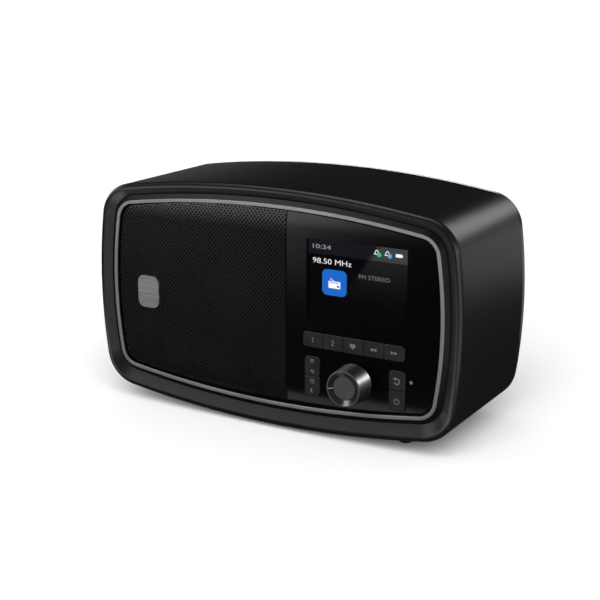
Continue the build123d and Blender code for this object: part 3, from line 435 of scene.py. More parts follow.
dress(plainFinish("cabinetBlack", cabinetLook), "cabinet_shell", "rear_cover")
dress(plainFinish("baffleShadedBlack", baffleShadedLook), "front_baffle")
dress(plainFinish("ringSilver", ringLook), "trim_ring")
dress(plainFinish("panelGloss", panelLook), "control_panel")
dress(plainFinish("keyGrey", keyLook), *rowKeys, *columnKeys)
dress(brushedFinish("badgeSilver", badgeLook), "badge_plate")
dress(plainFinish("capGrey", capLook), "knob_cap")
dress(plainFinish("pointerPale", pointerLook), "knob_pointer")
dress(plainFinish("footRubber", rubberLook), *footNodes)
dress(plainFinish("aerialChrome", chromeLook), *aerialNodes)
innerBlack = plainFinish("innerBlack", innerLook)
dress(innerBlack, "display_carrier", "tact_switches", "encoder_case", "encoder_rotor", "headphone_socket")
platedSteel = plainFinish("platedSteel", steelLook)
dress(platedSteel, "charging_socket", "battery_bracket", "encoder_shaft", "speaker_yoke")
blackSteel = plainFinish("blackSteel", blackSteelLook)
dress(blackSteel, "speaker_basket", *screwNodes)
dress(plainFinish("boardGreen", boardLook), "front_board", "main_board")
dress(plainFinish("conePulp", coneLook), "speaker_cone", "speaker_surround", "speaker_dust_cap")
dress(plainFinish("magnetFerrite", magnetLook), "speaker_magnet")
dress(plainFinish("coilCopper", coilLook), "speaker_coil")
dress(plainFinish("batterySleeve", batteryLook), "battery_pack")
dress(plainFinish("wireGrey", wireLook), "flat_cable", "speaker_lead")
print("solids dressed")


# pieces made here are meshes whose vertices are already in place, apart from the knob's

def addPiece(name, mesh, finish, body, place=(0, 0, 0)):
    piece = addObject(name, mesh)
    piece.location = place
    mesh.materials.append(finish)
    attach(piece, body)
    return piece


def meshOfCurve(name, curve):
    holder = addObject(name, curve)
    graph = bpy.context.evaluated_depsgraph_get()
    mesh = bpy.data.meshes.new_from_object(holder.evaluated_get(graph))
    bpy.data.objects.remove(holder)
    bpy.data.curves.remove(curve)
    mesh.name = name
    return mesh


def standUpright(mesh, x, y, z):
    # a flat mesh drawn on the ground plane comes to stand on the front, facing it
    mesh.transform(Matrix.Translation((x, y, z)) @ Matrix.Rotation(math.radians(90), 4, "X"))


def boxMiddle(name):
    low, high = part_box(name)
    return (low + high) / 2


def bodyOf(node):
    for body, members in frame["record"]["behaviour"]["bodies"].items():
        if node in members:
            return body


def smoothFaces(mesh, sharpAngle=25):
    # edges that turn by more than this many degrees stay crisp
    for face in mesh.polygons:
        face.use_smooth = True
    mesh.set_sharp_from_angle(angle=math.radians(sharpAngle))


def latheMesh(name, profile, steps, weldGap=0.001):
    # closed profile of radius and depth in millimetres, turned about the depth axis
    form = bmesh.new()
    corners = [form.verts.new((radius * mm, depth * mm, 0)) for radius, depth in profile]
    for first, second in zip(corners, corners[1:] + corners[:1]):
        form.edges.new((first, second))
    bmesh.ops.spin(
        form, geom=form.verts[:] + form.edges[:], cent=(0, 0, 0), axis=(0, 1, 0),
        angle=math.tau, steps=steps, use_merge=True,
    )
    bmesh.ops.remove_doubles(form, verts=form.verts[:], dist=weldGap * mm)
    bmesh.ops.dissolve_degenerate(form, edges=form.edges[:], dist=weldGap * mm / 10)
    bmesh.ops.recalc_face_normals(form, faces=form.faces[:])
    mesh = meshOfForm(name, form)
    smoothFaces(mesh)
    return mesh


def roundedEdge(radius, edge, steps=5):
    # quarter round from a front face to its side, as radius and depth
    turns = [math.radians(turn) for turn in spread(90, 0, steps)]
    return [(radius - edge + edge * math.cos(turn), edge - edge * math.sin(turn)) for turn in turns]


# grille: a crowned sheet with fine staggered holes

grilleSheet = {
    "pitch": 2.29, "rowRise": 1.315, "holeRadius": 0.58, "holeSides": 6, "border": 0.45, "thickness": 0.6,
    "openShare": 0.8,  # a triangle nearer to a hole's middle than this share of the radius is cut out
    "dark": grey(0.0045), "light": grey(0.0065), "cloud": 25.0, "grain": 3000.0,
    "smooth": 0.30, "rough": 0.38, "bump": 0.05, "bumpDepth": 0.00002, "gloss": 0.48,
}
frontBow = {  # outline and crown that the grille and the panel share
    "topFall": 9.12, "sideFall": 6.68, "corner": 9.35, "crownFlat": 40.0, "crownRadius": 60.0,
}


def bowRadius(halfSpan, fall):
    return (halfSpan ** 2 + fall ** 2) / (2 * fall)


class BowedForm:
    # bowed top, bottom and sides with round corners, in millimetres about the middle
    def __init__(self, wide, high, topBow, sideBow, corner):
        self.wide, self.high = wide, high
        self.topBow, self.sideBow, self.corner = topBow, sideBow, corner
        topCentre = Vector((0, high - topBow))
        sideCentre = Vector((wide - sideBow, 0))
        apart = (sideCentre - topCentre).length
        along = (sideCentre - topCentre) / apart
        topReach, sideReach = topBow - corner, sideBow - corner
        step = (apart ** 2 + topReach ** 2 - sideReach ** 2) / (2 * apart)
        aside = math.sqrt(topReach ** 2 - step ** 2)
        self.turn = topCentre + along * step + Vector((along.y, -along.x)) * aside
        self.topWay = (self.turn - topCentre).normalized()
        self.sideWay = (self.turn - sideCentre).normalized()

    def topAt(self, x):
        return self.high - self.topBow + math.sqrt(self.topBow ** 2 - x ** 2)

    def sideAt(self, z):
        return self.wide - self.sideBow + math.sqrt(self.sideBow ** 2 - z ** 2)

    def inside(self, x, z, inset):
        x, z = abs(x), abs(z)
        if math.hypot(x, z + self.topBow - self.high) > self.topBow - inset:
            return False
        if math.hypot(x + self.sideBow - self.wide, z) > self.sideBow - inset:
            return False
        offX, offZ = x - self.turn.x, z - self.turn.y
        return not (offX > 0 and offZ > 0 and math.hypot(offX, offZ) > self.corner - inset)

    def leftPart(self, right, steps=48):
        # points round the part left of a straight cut, from the top of the cut to its foot
        fromX = -(self.turn + self.topWay * self.corner).x
        fromZ = (self.turn + self.sideWay * self.corner).y
        first = math.atan2(self.topWay.y, -self.topWay.x)
        last = math.atan2(self.sideWay.y, -self.sideWay.x)
        upper = [(x, self.topAt(x)) for x in spread(right, fromX, steps)]
        for angle in spread(first, last, steps // 4)[1:-1]:
            across, up = self.corner * math.cos(angle), self.corner * math.sin(angle)
            upper.append((across - self.turn.x, up + self.turn.y))
        upper += [(-self.sideAt(z), z) for z in spread(fromZ, 0, steps // 2)]
        return upper + [(x, -z) for x, z in reversed(upper[:-1])]


def bowedForm(node, inset=0):
    # outline of a piece that lies inside the ring, drawn in by the inset
    low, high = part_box(node)
    wide, tall = max(-low.x, high.x) / mm, (high.z - low.z) / 2 / mm
    topBow, sideBow = bowRadius(wide, frontBow["topFall"]), bowRadius(tall, frontBow["sideFall"])
    corner = frontBow["corner"] - inset
    return BowedForm(wide - inset, tall - inset, topBow - inset, sideBow - inset, corner)


def crownPoint(frontY, x, z):
    # a point of the outline comes to lie on the crowned front
    past = max(0.0, abs(z) - frontBow["crownFlat"])
    fall = frontBow["crownRadius"] - math.sqrt(frontBow["crownRadius"] ** 2 - past ** 2)
    return (x * mm, frontY + fall * mm, frontMid + z * mm)


def thicken(form, depth):
    # a skin seen from the front gets its back and its edges
    copied = bmesh.ops.extrude_face_region(form, geom=form.faces[:], use_keep_orig=True)["geom"]
    for item in copied:
        if isinstance(item, bmesh.types.BMVert):
            item.co.y += depth
    bmesh.ops.recalc_face_normals(form, faces=form.faces[:])


def badgeCover(pitch):
    # middle and half size of the stretch under the badge that stays unpierced
    low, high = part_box("badge_plate")
    middle, half = (low + high) / 2 / mm, (high - low) / 2 / mm
    return middle.x, middle.z - frontMid / mm, half.x - pitch, half.z - pitch


def holePlaces(setup, form, right):
    pitch, rise = setup["pitch"], setup["rowRise"]
    reach = setup["border"] + setup["holeRadius"]
    rows = int(form.high / rise)
    columns = int(form.wide / pitch) + 1
    badgeX, badgeZ, badgeWide, badgeHigh = badgeCover(pitch)
    places = []
    for row in range(-rows, rows + 1):
        for column in range(-columns, columns + 1):
            x = (column + 0.5 * (row % 2)) * pitch
            z = row * rise
            underBadge = abs(x - badgeX) < badgeWide and abs(z - badgeZ) < badgeHigh
            if x < right - reach and form.inside(x, z, reach) and not underBadge:
                places.append((x, z))
    return places


def perforatedSheet(setup, outline, holes):
    # flat triangles between the outline and the holes, as lists of points and corners
    radius, sides = setup["holeRadius"], setup["holeSides"]
    points = [Vector(point) for point in outline]
    edges = []
    for x, z in holes:
        first = len(points)
        for side in range(sides):
            angle = math.tau * (side + 0.5) / sides
            points.append(Vector((x + radius * math.cos(angle), z + radius * math.sin(angle))))
            edges.append((first + side, first + (side + 1) % sides))
    loop = list(range(len(outline)))
    insideOnly, nearest = 1, 1e-5  # keeps what is inside the outline, joins points nearer than this
    spots, _, faces, *_ = geometry.delaunay_2d_cdt(points, edges, [loop], insideOnly, nearest)
    tree = kdtree.KDTree(len(holes))
    for index, (x, z) in enumerate(holes):
        tree.insert((x, z, 0), index)
    tree.balance()
    kept = []
    for face in faces:
        middle = sum((spots[corner] for corner in face), Vector((0, 0))) / len(face)
        if tree.find((*middle, 0))[2] > radius * setup["openShare"]:
            kept.append(face)
    return spots, kept


def makeGrille(setup):
    low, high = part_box("speaker_grille")
    right = high.x / mm
    form = bowedForm("speaker_grille")
    holes = holePlaces(setup, form, right)
    spots, faces = perforatedSheet(setup, form.leftPart(right), holes)
    sheet = bmesh.new()
    front = [sheet.verts.new(crownPoint(low.y, x, z)) for x, z in spots]
    for face in faces:
        sheet.faces.new([front[corner] for corner in face])
    thicken(sheet, setup["thickness"] * mm)
    mesh = meshOfForm("grilleSheet", sheet)
    piece = addPiece("grilleSheet", mesh, plainFinish("grilleBlack", setup), "radio")
    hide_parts("speaker_grille")
    print("grille pierced:", len(holes), "holes,", len(mesh.polygons), "faces")


makeGrille(grilleSheet)


# painted shadow: a dark strip round the grille and the control panel, along the ring, standing in for the
# shade in the gap there

gapShadowStrip = {
    "grilleWidth": 0.5, "panelWidth": 0.8, "thickness": 0.06, "sink": 0.01,
    "dark": grey(0.0006), "light": grey(0.0010), "cloud": 60.0, "grain": 2500.0,
    "smooth": 0.7, "rough": 0.8, "bump": 0.1, "bumpDepth": 0.00002, "gloss": 0.1,
}


def makeShadowStrip(setup, finish, name, node, width, side):
    # side is 1 for a piece at the left of the front and -1 for one at the right
    low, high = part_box(node)
    cut = min(high.x * side, -low.x * side, key=abs) / mm
    frontSkin = low.y + (setup["sink"] - setup["thickness"]) * mm
    form = bmesh.new()
    rails = []
    for inset in (0, width):
        outline = bowedForm(node, inset).leftPart(cut)
        rails.append([form.verts.new(crownPoint(frontSkin, side * x, z)) for x, z in outline])
    for outer, inner in zip(zip(rails[0], rails[0][1:]), zip(rails[1], rails[1][1:])):
        form.faces.new([*outer, *reversed(inner)])
    thicken(form, setup["thickness"] * mm)
    addPiece(name, meshOfForm(name, form), finish, "radio")


# near-black strip laid where the gap's shade falls: painted shadow
paintedShadowBlack = plainFinish("paintedShadowBlack", gapShadowStrip)
makeShadowStrip(gapShadowStrip, paintedShadowBlack, "grilleShadowStrip", "speaker_grille", gapShadowStrip["grilleWidth"], 1)
makeShadowStrip(gapShadowStrip, paintedShadowBlack, "panelShadowStrip", "control_panel", gapShadowStrip["panelWidth"], -1)
print("painted shadow strips laid")


# flat signs on the keys, drawn in millimetres about the middle of their key

def arcPoints(x, z, radius, start, end, steps=16):
    turns = [math.radians(angle) for angle in spread(start, end, steps)]
    return [(x + radius * math.cos(turn), z + radius * math.sin(turn)) for turn in turns]


def circlePoints(x, z, radius, sides=24):
    return arcPoints(x, z, radius, 0, 360, sides)[:-1]


def ringPart(x, z, outer, inner, start, end, steps=24):
    return arcPoints(x, z, outer, start, end, steps) + arcPoints(x, z, inner, end, start, steps)


def barOf(x, z, wide, high):
    left, right = x - wide / 2, x + wide / 2
    foot, top = z - high / 2, z + high / 2
    return [(left, foot), (right, foot), (right, top), (left, top)]


def roundedBar(x, z, wide, high, corner):
    spanX, spanZ = wide / 2 - corner, high / 2 - corner
    points = []
    for quarter, (sideX, sideZ) in enumerate(((1, 1), (-1, 1), (-1, -1), (1, -1))):
        start = quarter * 90
        points += arcPoints(x + sideX * spanX, z + sideZ * spanZ, corner, start, start + 90, 6)
    return points


def wedgeOf(x, z, wide, high):
    # triangle that points to the right for a positive width
    return [(x + wide / 2, z), (x - wide / 2, z + high / 2), (x - wide / 2, z - high / 2)]


def heartOf(wide):
    # the usual heart curve, which is 32 units wide
    points = []
    for turn in spread(0, math.tau, 40)[:-1]:
        across = 16 * math.sin(turn) ** 3
        up = 13 * math.cos(turn) - 5 * math.cos(2 * turn) - 2 * math.cos(3 * turn) - math.cos(4 * turn)
        points.append((across * wide / 32, up * wide / 32))
    return points


def figureOne(wide, high, stroke):
    # upright stroke with a small flag at its top left
    left, right, top = -wide / 2, wide / 2 - stroke / 2, high / 2
    flagRoot, flagFoot, flagTip = top - stroke * 1.6, top - stroke * 2.6, top - stroke * 1.5
    flag = [(right - stroke, flagRoot), (left, flagFoot), (left, flagTip)]
    return [(right, top), (right, -top), (right - stroke, -top), *flag, (right - stroke * 0.9, top)][::-1]


def flatMesh(name, outlines, thickness):
    curve = bpy.data.curves.new(name, "CURVE")
    curve.dimensions = "2D"
    curve.fill_mode = "BOTH"
    curve.extrude = thickness / 2 * mm
    for outline in outlines:
        spline = curve.splines.new("POLY")
        spline.points.add(len(outline) - 1)
        for point, (x, z) in zip(spline.points, outline):
            point.co = (x * mm, z * mm, 0, 1)
        spline.use_cyclic_u = True
    return meshOfCurve(name, curve)


def wordMesh(name, words, left, right, bottom, top, thickness, weight=0.0):
    # lettering drawn to fill a box on the front, in millimetres
    curve = bpy.data.curves.new(name, "FONT")
    curve.body = words
    curve.size = (top - bottom) * mm
    curve.offset = weight * mm
    curve.extrude = thickness / 2 * mm
    curve.resolution_u = 4
    mesh = meshOfCurve(name, curve)
    xs = [corner.co.x for corner in mesh.vertices]
    ys = [corner.co.y for corner in mesh.vertices]
    scaleX = (right - left) * mm / (max(xs) - min(xs))
    scaleY = (top - bottom) * mm / (max(ys) - min(ys))
    shift = Matrix.Translation((left * mm - min(xs) * scaleX, bottom * mm - min(ys) * scaleY, 0))
    mesh.transform(shift @ Matrix.Diagonal((scaleX, scaleY, 1, 1)))
    return mesh


signInk = {
    "thickness": 0.04, "sink": 0.005, "figureTwo": (-0.85, 0.85, -1.4, 1.4),
    "dark": grey(0.12), "light": grey(0.16), "cloud": 400.0, "grain": 3000.0,
    "smooth": 0.5, "rough": 0.6, "bump": 0.05, "bumpDepth": 0.00001, "gloss": 0.3,
}
listSign = [barOf(0, height, 2.2, 0.32) for height in (3.6, 2.9, 2.2)]
backSign = [wedgeOf(-0.6, -2.6, -1.2, 1.5), ringPart(0.0, -2.95, 1.05, 0.7, -80, 80)]
clockFace = [circlePoints(0, 2.6, radius, 48) for radius in (1.25, 0.95)]
clockHands = [barOf(0.0, 2.95, 0.26, 0.6), barOf(0.32, 2.6, 0.5, 0.24)]
moonSign = [arcPoints(0.1, -2.6, 1.15, 60, 300) + arcPoints(0.62, -2.6, 0.98, 280, 80)]
keySigns = {
    "key_preset_one": [figureOne(1.1, 2.8, 0.36)],
    "key_favourite": [heartOf(3.6)],
    "key_previous": [wedgeOf(-0.95, 0, -1.8, 2.0), wedgeOf(0.95, 0, -1.8, 2.0)],
    "key_next": [wedgeOf(-0.95, 0, 1.8, 2.0), wedgeOf(0.95, 0, 1.8, 2.0)],
    "rocker_menu": [*listSign, *backSign],
    "rocker_alarm": [*clockFace, *clockHands, *moonSign],
    "key_source": [ringPart(0, -0.35, 1.75, 1.2, -150, 120), wedgeOf(-1.35, 1.0, -1.5, 1.7)],
    "key_power": [ringPart(0, -0.1, 1.6, 1.25, 120, 420), barOf(0, 1.15, 0.36, 1.5)],
}


def makeSigns(setup):
    ink = plainFinish("signInk", setup)
    signs = {}
    for node, outlines in keySigns.items():
        signs[node] = flatMesh("sign_" + node, outlines, setup["thickness"])
    signs["key_preset_two"] = wordMesh("sign_key_preset_two", "2", *setup["figureTwo"], setup["thickness"])
    for node, mesh in signs.items():
        middle = boxMiddle(node)
        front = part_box(node)[0].y + (setup["sink"] - setup["thickness"] / 2) * mm
        standUpright(mesh, middle.x, front, middle.z)
        addPiece("sign_" + node, mesh, ink, bodyOf(node))
    print("keys signed:", len(signs))


makeSigns(signInk)


# display: clear lens, dark screen and what it shows

screenLook = {
    "pixel": 0.18,  # millimetres from one picture line to the next
    "weave": (0.9, 1.1),  # strength between the lines and on them
    "rough": 0.35,
    "gloss": 0.1,
    "base": (0.002, 0.002, 0.002),
    # colour of the painted reflection band
    "paintedSheenColour": (0.017, 0.017, 0.019),
    "blackColour": (0.0012, 0.0013, 0.0018),
    "sheenLean": 0.72,
    "sheenPlace": 58.0,  # where the band starts at the height below, in millimetres
    "sheenHeight": 31.0,  # above the middle of the front
    "sheenBlur": (1.0, 3.0),  # before and past the start
    "sheenFull": 34.0,  # height above the middle where the band is strongest
    "sheenCurve": 2.4,
}
litLook = {"weave": (0.85, 1.1), "smooth": 0.3, "rough": 0.4, "gloss": 0.1, "base": (0.01, 0.01, 0.01)}
lampLook = {"colour": (0.75, 0.80, 0.85), "strength": 0.10, "base": (0.06, 0.06, 0.065)}
lensLook = {"smears": 90.0, "smooth": 0.02, "rough": 0.06, "colour": (0.97, 0.97, 0.98), "bend": 1.03}


def pixelWeave(tree, place):
    # fine upright and level lines of the picture
    lines = []
    for direction in ("X", "Z"):
        node = tree.nodes.new("ShaderNodeTexWave")
        node.bands_direction = direction
        node.inputs["Scale"].default_value = math.pi / (10 * screenLook["pixel"] * mm)
        tree.links.new(place, node.inputs["Vector"])
        lines.append(node.outputs[1])
    return mathOf(tree, "MULTIPLY", *lines)


def litFinish(name, colour, strength, base=litLook["base"]):
    finish, tree, shader = startFinish(name)
    weave = pixelWeave(tree, objectPlace(tree))
    low, high = (strength * share for share in litLook["weave"])
    tree.links.new(rangeOf(tree, weave, low, high, 0, 1), shader.inputs["Emission Strength"])
    roughness = rangeOf(tree, weave, litLook["smooth"], litLook["rough"], 0, 1)
    tree.links.new(roughness, shader.inputs["Roughness"])
    shader.inputs["Emission Color"].default_value = (*colour, 1)
    shader.inputs["Base Color"].default_value = (*base, 1)
    shader.inputs["Specular IOR Level"].default_value = litLook["gloss"]
    return finish


def paintedSheenAmount(tree, place, look):
    # painted reflection: a soft slanting band of light painted into the screen's glow over the right of
    # the picture
    split = splitPlace(tree, place)
    lean = mathOf(tree, "MULTIPLY", split["Z"], look["sheenLean"])
    across = mathOf(tree, "SUBTRACT", split["X"], lean)
    before, past = look["sheenBlur"]
    start = look["sheenPlace"] * mm - look["sheenLean"] * (frontMid + look["sheenHeight"] * mm)
    edge = rangeOf(tree, across, 0, 1, start - before * mm, start + past * mm)
    fade = rangeOf(tree, split["Z"], 0, 1, frontMid, frontMid + look["sheenFull"] * mm)
    return mathOf(tree, "MULTIPLY", edge, mathOf(tree, "POWER", fade, look["sheenCurve"]))


def screenFinish(name, dark, light):
    # the glow's colour runs from dark to light with the painted reflection band, so light is the band's
    # painted colour
    finish, tree, shader = startFinish(name)
    place = objectPlace(tree)
    amount = paintedSheenAmount(tree, place, screenLook)
    weave = pixelWeave(tree, place)
    tree.links.new(rampOf(tree, amount, dark, light, 0, 1), shader.inputs["Emission Color"])
    tree.links.new(rangeOf(tree, weave, *screenLook["weave"], 0, 1), shader.inputs["Emission Strength"])
    shader.inputs["Base Color"].default_value = (*screenLook["base"], 1)
    shader.inputs["Roughness"].default_value = screenLook["rough"]
    shader.inputs["Specular IOR Level"].default_value = screenLook["gloss"]
    return finish


def lensFinish(look):
    finish, tree, shader = startFinish("lensClear")
    smears = noiseOf(tree, objectPlace(tree), look["smears"], 4)
    tree.links.new(rangeOf(tree, smears, look["smooth"], look["rough"]), shader.inputs["Roughness"])
    shader.inputs["Base Color"].default_value = (*look["colour"], 1)
    shader.inputs["Transmission Weight"].default_value = 1.0
    shader.inputs["IOR"].default_value = look["bend"]
    return finish


def bellOf(x, z, size):
    # outline and hollow of a bell, from shares of its size for dome, flare and foot
    domeZ = z + 0.1 * size
    outlines = []
    for dome, flare, foot in ((0.55, 0.95, 0.75), (0.33, 0.55, 0.52)):
        arch = arcPoints(x, domeZ, dome * size, 0, 180, 14)
        outlines.append([(x + flare * size, z - foot * size), *arch, (x - flare * size, z - foot * size)])
    return outlines


def setSign(x, z):
    # small set with a slot, a dial and a slanting aerial
    case = roundedBar(x, z, 7.0, 3.8, 0.4)
    slot = barOf(x - 0.3, z + 1.15, 5.4, 0.4)
    dial = circlePoints(x + 2.2, z - 0.7, 0.65)
    aerial = [(x - 0.4, z + 2.0), (x + 0.1, z + 2.0), (x - 2.4, z + 3.5), (x - 2.6, z + 3.1)]
    return [case, slot, dial, aerial]


# places are in millimetres from the middle of the lens
pictureLook = {
    "wide": 58.2, "high": 43.0, "barHigh": 8.0, "thickness": 0.01, "lift": 0.008, "layerStep": 0.012,
    # the bar's own colour, and its painted colour under the reflection band
    "barDark": (0.0075, 0.0085, 0.0125), "barPaintedSheen": (0.055, 0.055, 0.060),
}
pictureLights = {  # colour and strength
    "white": ((0.95, 0.96, 1.0), 1.15),
    "pale": ((0.42, 0.43, 0.46), 0.9),
    "grey": ((0.20, 0.20, 0.205), 1.0),
    "blue": ((0.012, 0.150, 0.640), 1.0),
    "green": ((0.03, 0.62, 0.16), 1.0),
    "sky": ((0.08, 0.45, 0.80), 1.0),
}
barPlace = (pictureLook["high"] - pictureLook["barHigh"]) / 2
pictureSigns = {  # outlines, light and layer
    "pictureBar": ([barOf(0, barPlace, pictureLook["wide"], pictureLook["barHigh"])], "bar", 0),
    "pictureTile": ([roundedBar(-13.3, -1.1, 14.5, 13.9, 2.9)], "blue", 0),
    "pictureSet": (setSign(-13.3, -2.2), "white", 1),
    "pictureBells": ([*bellOf(11.1, 18.2, 1.7), *bellOf(17.1, 18.2, 1.7)], "white", 1),
    "pictureDotGreen": ([circlePoints(12.5, 16.9, 1.2)], "green", 2),
    "pictureDotSky": ([circlePoints(18.5, 16.9, 1.2)], "sky", 2),
    "pictureCharge": ([roundedBar(23.6, 17.6, 3.6, 1.7, 0.35), barOf(25.65, 17.6, 0.3, 0.8)], "white", 1),
}
pictureWords = {  # text, its left, right, bottom and top, light, weight and layer
    "pictureClock": ("10:24", (-26.2, -15.5, 16.3, 18.5), "pale", 0.0, 1),
    "pictureTuned": ("98.50 MHz", (-26.2, -3.4, 8.5, 11.3), "white", -0.02, 1),
    "pictureBand": ("FM STEREO", (1.0, 18.7, 3.1, 5.3), "grey", 0.0, 1),
}


def makePicture(look):
    middle = boxMiddle("display_lens")
    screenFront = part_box("display_screen")[0].y
    lights = {name: litFinish("picture" + name.title(), *light) for name, light in pictureLights.items()}
    lights["bar"] = screenFinish("pictureBar", look["barDark"], look["barPaintedSheen"])

    def putUp(name, mesh, light, layer):
        ahead = look["lift"] + layer * look["layerStep"]
        standUpright(mesh, middle.x, screenFront - ahead * mm, middle.z)
        addPiece(name, mesh, lights[light], "radio")

    for name, (outlines, light, layer) in pictureSigns.items():
        putUp(name, flatMesh(name, outlines, look["thickness"]), light, layer)
    for name, (text, span, light, weight, layer) in pictureWords.items():
        putUp(name, wordMesh(name, text, *span, look["thickness"], weight), light, layer)
    print("picture lit:", len(pictureSigns) + len(pictureWords), "pieces")


dress(lensFinish(lensLook), "display_lens")
dress(screenFinish("screenDark", screenLook["blackColour"], screenLook["paintedSheenColour"]), "display_screen")
dress(litFinish("lampFrost", **lampLook), "status_light")
makePicture(pictureLook)


# knob: turned shell with a dished front, spun finish

knobShell = {
    "frontRadius": 9.75, "rim": 0.7, "edge": 0.28, "wall": 1.4, "web": 1.4, "steps": 160,
    "footStep": 0.05, "footRise": 0.3, "footInset": 0.25,  # small bevel at the panel
    "dishRadius": 6.35, "dishDepth": 1.8, "dishWall": 0.8, "dishPlay": 0.02,
    "grooves": 7, "grooveDepth": 0.025,
    "groovePoints": ((0.2, 0), (0.55, 0), (0.7, 1), (0.85, 0)),  # shares of spacing and depth
}
knobSide = {
    "dark": grey(0.065), "light": grey(0.08), "smooth": 0.50, "rough": 0.56, "metal": 0.97,
    "cloud": 120.0, "turning": 9000.0, "streakTurn": 0.25,
}
knobDish = dict(knobSide, dark=grey(0.085), light=grey(0.105), smooth=0.32, rough=0.37, metal=0.86)
knobRim = {
    "dark": grey(0.10), "light": grey(0.13), "cloud": 120.0, "grain": 3000.0,
    "smooth": 0.40, "rough": 0.48, "bump": 0.04, "bumpDepth": 0.00002, "metal": 0.9,
}
knobLights = {  # one for each of the three turned faces alone
    "sideGleam": softbox((0.74, -0.54, 0.41), knobFront, (0.50, 0.22), 39.0),
    "dishGleam": softbox((-0.665, -0.806, 0.55), knobFront, (0.36, 0.60), 8.9),
    "rimGleam": softbox((0, -0.16, 0.004), (0.05, -0.07, 0.035), (0.06, 0.06), 0.021),
}


def spunFinish(name, look):
    finish, tree, shader = startFinish(name)
    place = objectPlace(tree)
    cloud = noiseOf(tree, place, look["cloud"], 3)
    turned = noiseOf(tree, splitPlace(tree, place)["Y"], look["turning"], 1)
    tree.links.new(rampOf(tree, cloud, look["dark"], look["light"]), shader.inputs["Base Color"])
    tree.links.new(rangeOf(tree, turned, look["smooth"], look["rough"]), shader.inputs["Roughness"])
    shader.inputs["Metallic"].default_value = look["metal"]
    shader.inputs["Anisotropic"].default_value = 1.0
    shader.inputs["Anisotropic Rotation"].default_value = look["streakTurn"]
    way = tree.nodes.new("ShaderNodeTangent")
    way.direction_type = "RADIAL"
    way.axis = "Y"
    tree.links.new(way.outputs[0], shader.inputs["Tangent"])
    return finish


def groovedDish(setup, outer, seat):
    # sloping ring with turned grooves, from its back round to its outer edge
    dish, deep = setup["dishRadius"], setup["dishDepth"]
    ring = [(outer, seat), (dish, seat), (dish, deep)]
    for index in range(setup["grooves"]):
        for share, sink in setup["groovePoints"]:
            along = (index + share) / setup["grooves"]
            depth = deep * (1 - along) + sink * setup["grooveDepth"]
            ring.append((dish + (outer - dish) * along, depth))
    return ring + [(outer, 0)]


def makeKnob(setup):
    low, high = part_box("knob_body")
    middle = (low + high) / 2
    base = (high.x - low.x) / 2 / mm
    deep = (high.y - low.y) / mm
    front, edge, play = setup["frontRadius"], setup["edge"], setup["dishPlay"]
    inner = front - setup["rim"]
    seat = setup["dishDepth"] + setup["dishWall"]
    web = seat + setup["web"]
    lean = (base - front) / deep
    shell = [(0, seat), (inner, seat), (inner, edge + play), (front, edge + play)]
    shell += [(front + lean * deep / 2, deep / 2)]
    shell += [(base - setup["footStep"], deep - setup["footRise"]), (base - setup["footInset"], deep)]
    shell += [(base - setup["wall"], deep), (front + lean * web - setup["wall"], web), (0, web)]
    ring = groovedDish(setup, inner - play, seat - play)
    lip = [(inner, edge), (inner, 0), *roundedEdge(front, edge)]

    def turnPiece(name, profile, finish):
        mesh = latheMesh(name, profile, setup["steps"])
        return addPiece(name, mesh, finish, "knob", (middle.x, low.y, middle.z))

    side = turnPiece("knobShell", shell, spunFinish("knobSide", knobSide))
    dished = turnPiece("knobDish", ring, spunFinish("knobDish", knobDish))
    rim = turnPiece("knobRim", lip, plainFinish("knobRim", knobRim))
    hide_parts("knob_body")
    side.visible_glossy = False  # the panel shows no second knob
    for face, piece in (("side", side), ("dish", dished), ("rim", rim)):
        gleam = face + "Gleam"
        lightPieces("knob" + face.title() + "Only", [piece], {gleam: knobLights[gleam]})
    linkLight("softboxesLeaveOut", "EXCLUDE", [dished], lamps)
    linkLight("frontLeavesOut", "EXCLUDE", [dished], frontLamps)
    print("knob turned:", setup["grooves"], "grooves in its dish")


makeKnob(knobShell)


# cross-headed screws at the back

screwHead = {
    "radius": 2.6, "height": 1.5, "dome": 0.5, "steps": 32,
    "shankRadius": 1.4, "pointLength": 1.0, "pointRadius": 0.5,
    "crossLength": 2.9, "crossWidth": 0.62, "crossDepth": 0.9,
    "weldGap": 0.002,  # points nearer than this are joined
}


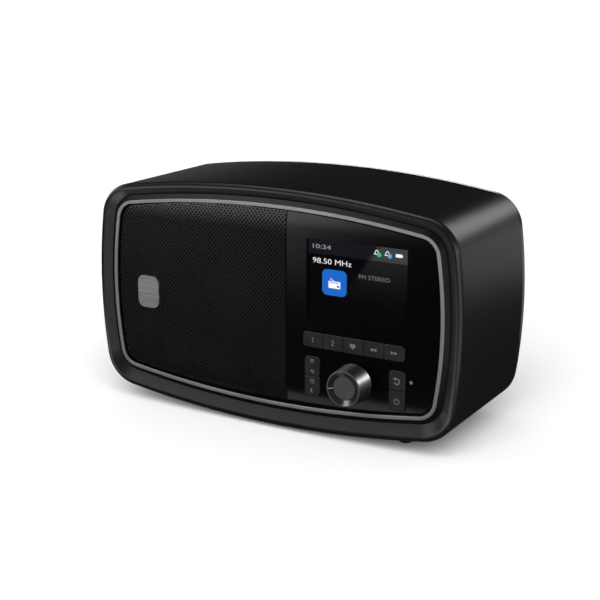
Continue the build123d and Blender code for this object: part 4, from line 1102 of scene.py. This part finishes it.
def crossOutline(setup):
    length, width = setup["crossLength"] / 2, setup["crossWidth"] / 2
    arm = [(length, -width), (length, width), (width, width)]
    corners = []
    for quarter in range(4):
        turn = Matrix.Rotation(quarter * math.pi / 2, 2)
        corners += [tuple(turn @ Vector(point)) for point in arm]
    return corners


def cutMesh(name, body, tool):
    target = addObject(name, body)
    cutter = addObject(name + "Tool", tool)
    cut = target.modifiers.new("cut", "BOOLEAN")
    cut.object = cutter
    cut.operation = "DIFFERENCE"
    graph = bpy.context.evaluated_depsgraph_get()
    mesh = bpy.data.meshes.new_from_object(target.evaluated_get(graph))
    for item in (target, cutter):
        bpy.data.objects.remove(item)
    return mesh


def screwMesh(setup, long):
    # one screw with its head at the front and its shank behind
    radius, tall, shank = setup["radius"], setup["height"], setup["shankRadius"]
    profile = [(0, 0), *roundedEdge(radius, setup["dome"]), (radius, tall), (shank, tall)]
    profile += [(shank, long - setup["pointLength"]), (setup["pointRadius"], long), (0, long)]
    head = latheMesh("caseScrew", profile, setup["steps"])
    cross = flatMesh("caseScrewCross", [crossOutline(setup)], 2 * setup["crossDepth"])
    standUpright(cross, 0, 0, 0)
    return cutMesh("caseScrewCut", head, cross)


def makeScrews(setup):
    low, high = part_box("case_screws")
    solid = screwMesh(setup, (high.y - low.y) / mm)
    inset = setup["radius"] * mm
    form = bmesh.new()
    for x in (low.x + inset, high.x - inset):
        for z in (low.z + inset, high.z - inset):
            copy = solid.copy()
            copy.transform(Matrix.Translation((x, high.y, z)) @ Matrix.Rotation(math.pi, 4, "Z"))
            form.from_mesh(copy)
            bpy.data.meshes.remove(copy)
    bmesh.ops.remove_doubles(form, verts=form.verts[:], dist=setup["weldGap"] * mm)
    mesh = meshOfForm("caseScrews", form)
    smoothFaces(mesh)
    piece = addPiece("caseScrews", mesh, blackSteel, "radio")
    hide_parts("case_screws")
    print("screws cut")
    return piece


rearNodes = ["rear_cover", "headphone_socket", "charging_socket", *aerialNodes]
rearPieces = [cadNodes[name] for name in rearNodes] + [makeScrews(screwHead)]
lightPieces("rearOnly", rearPieces, rearLights)
print("back lit:", len(rearPieces), "pieces")
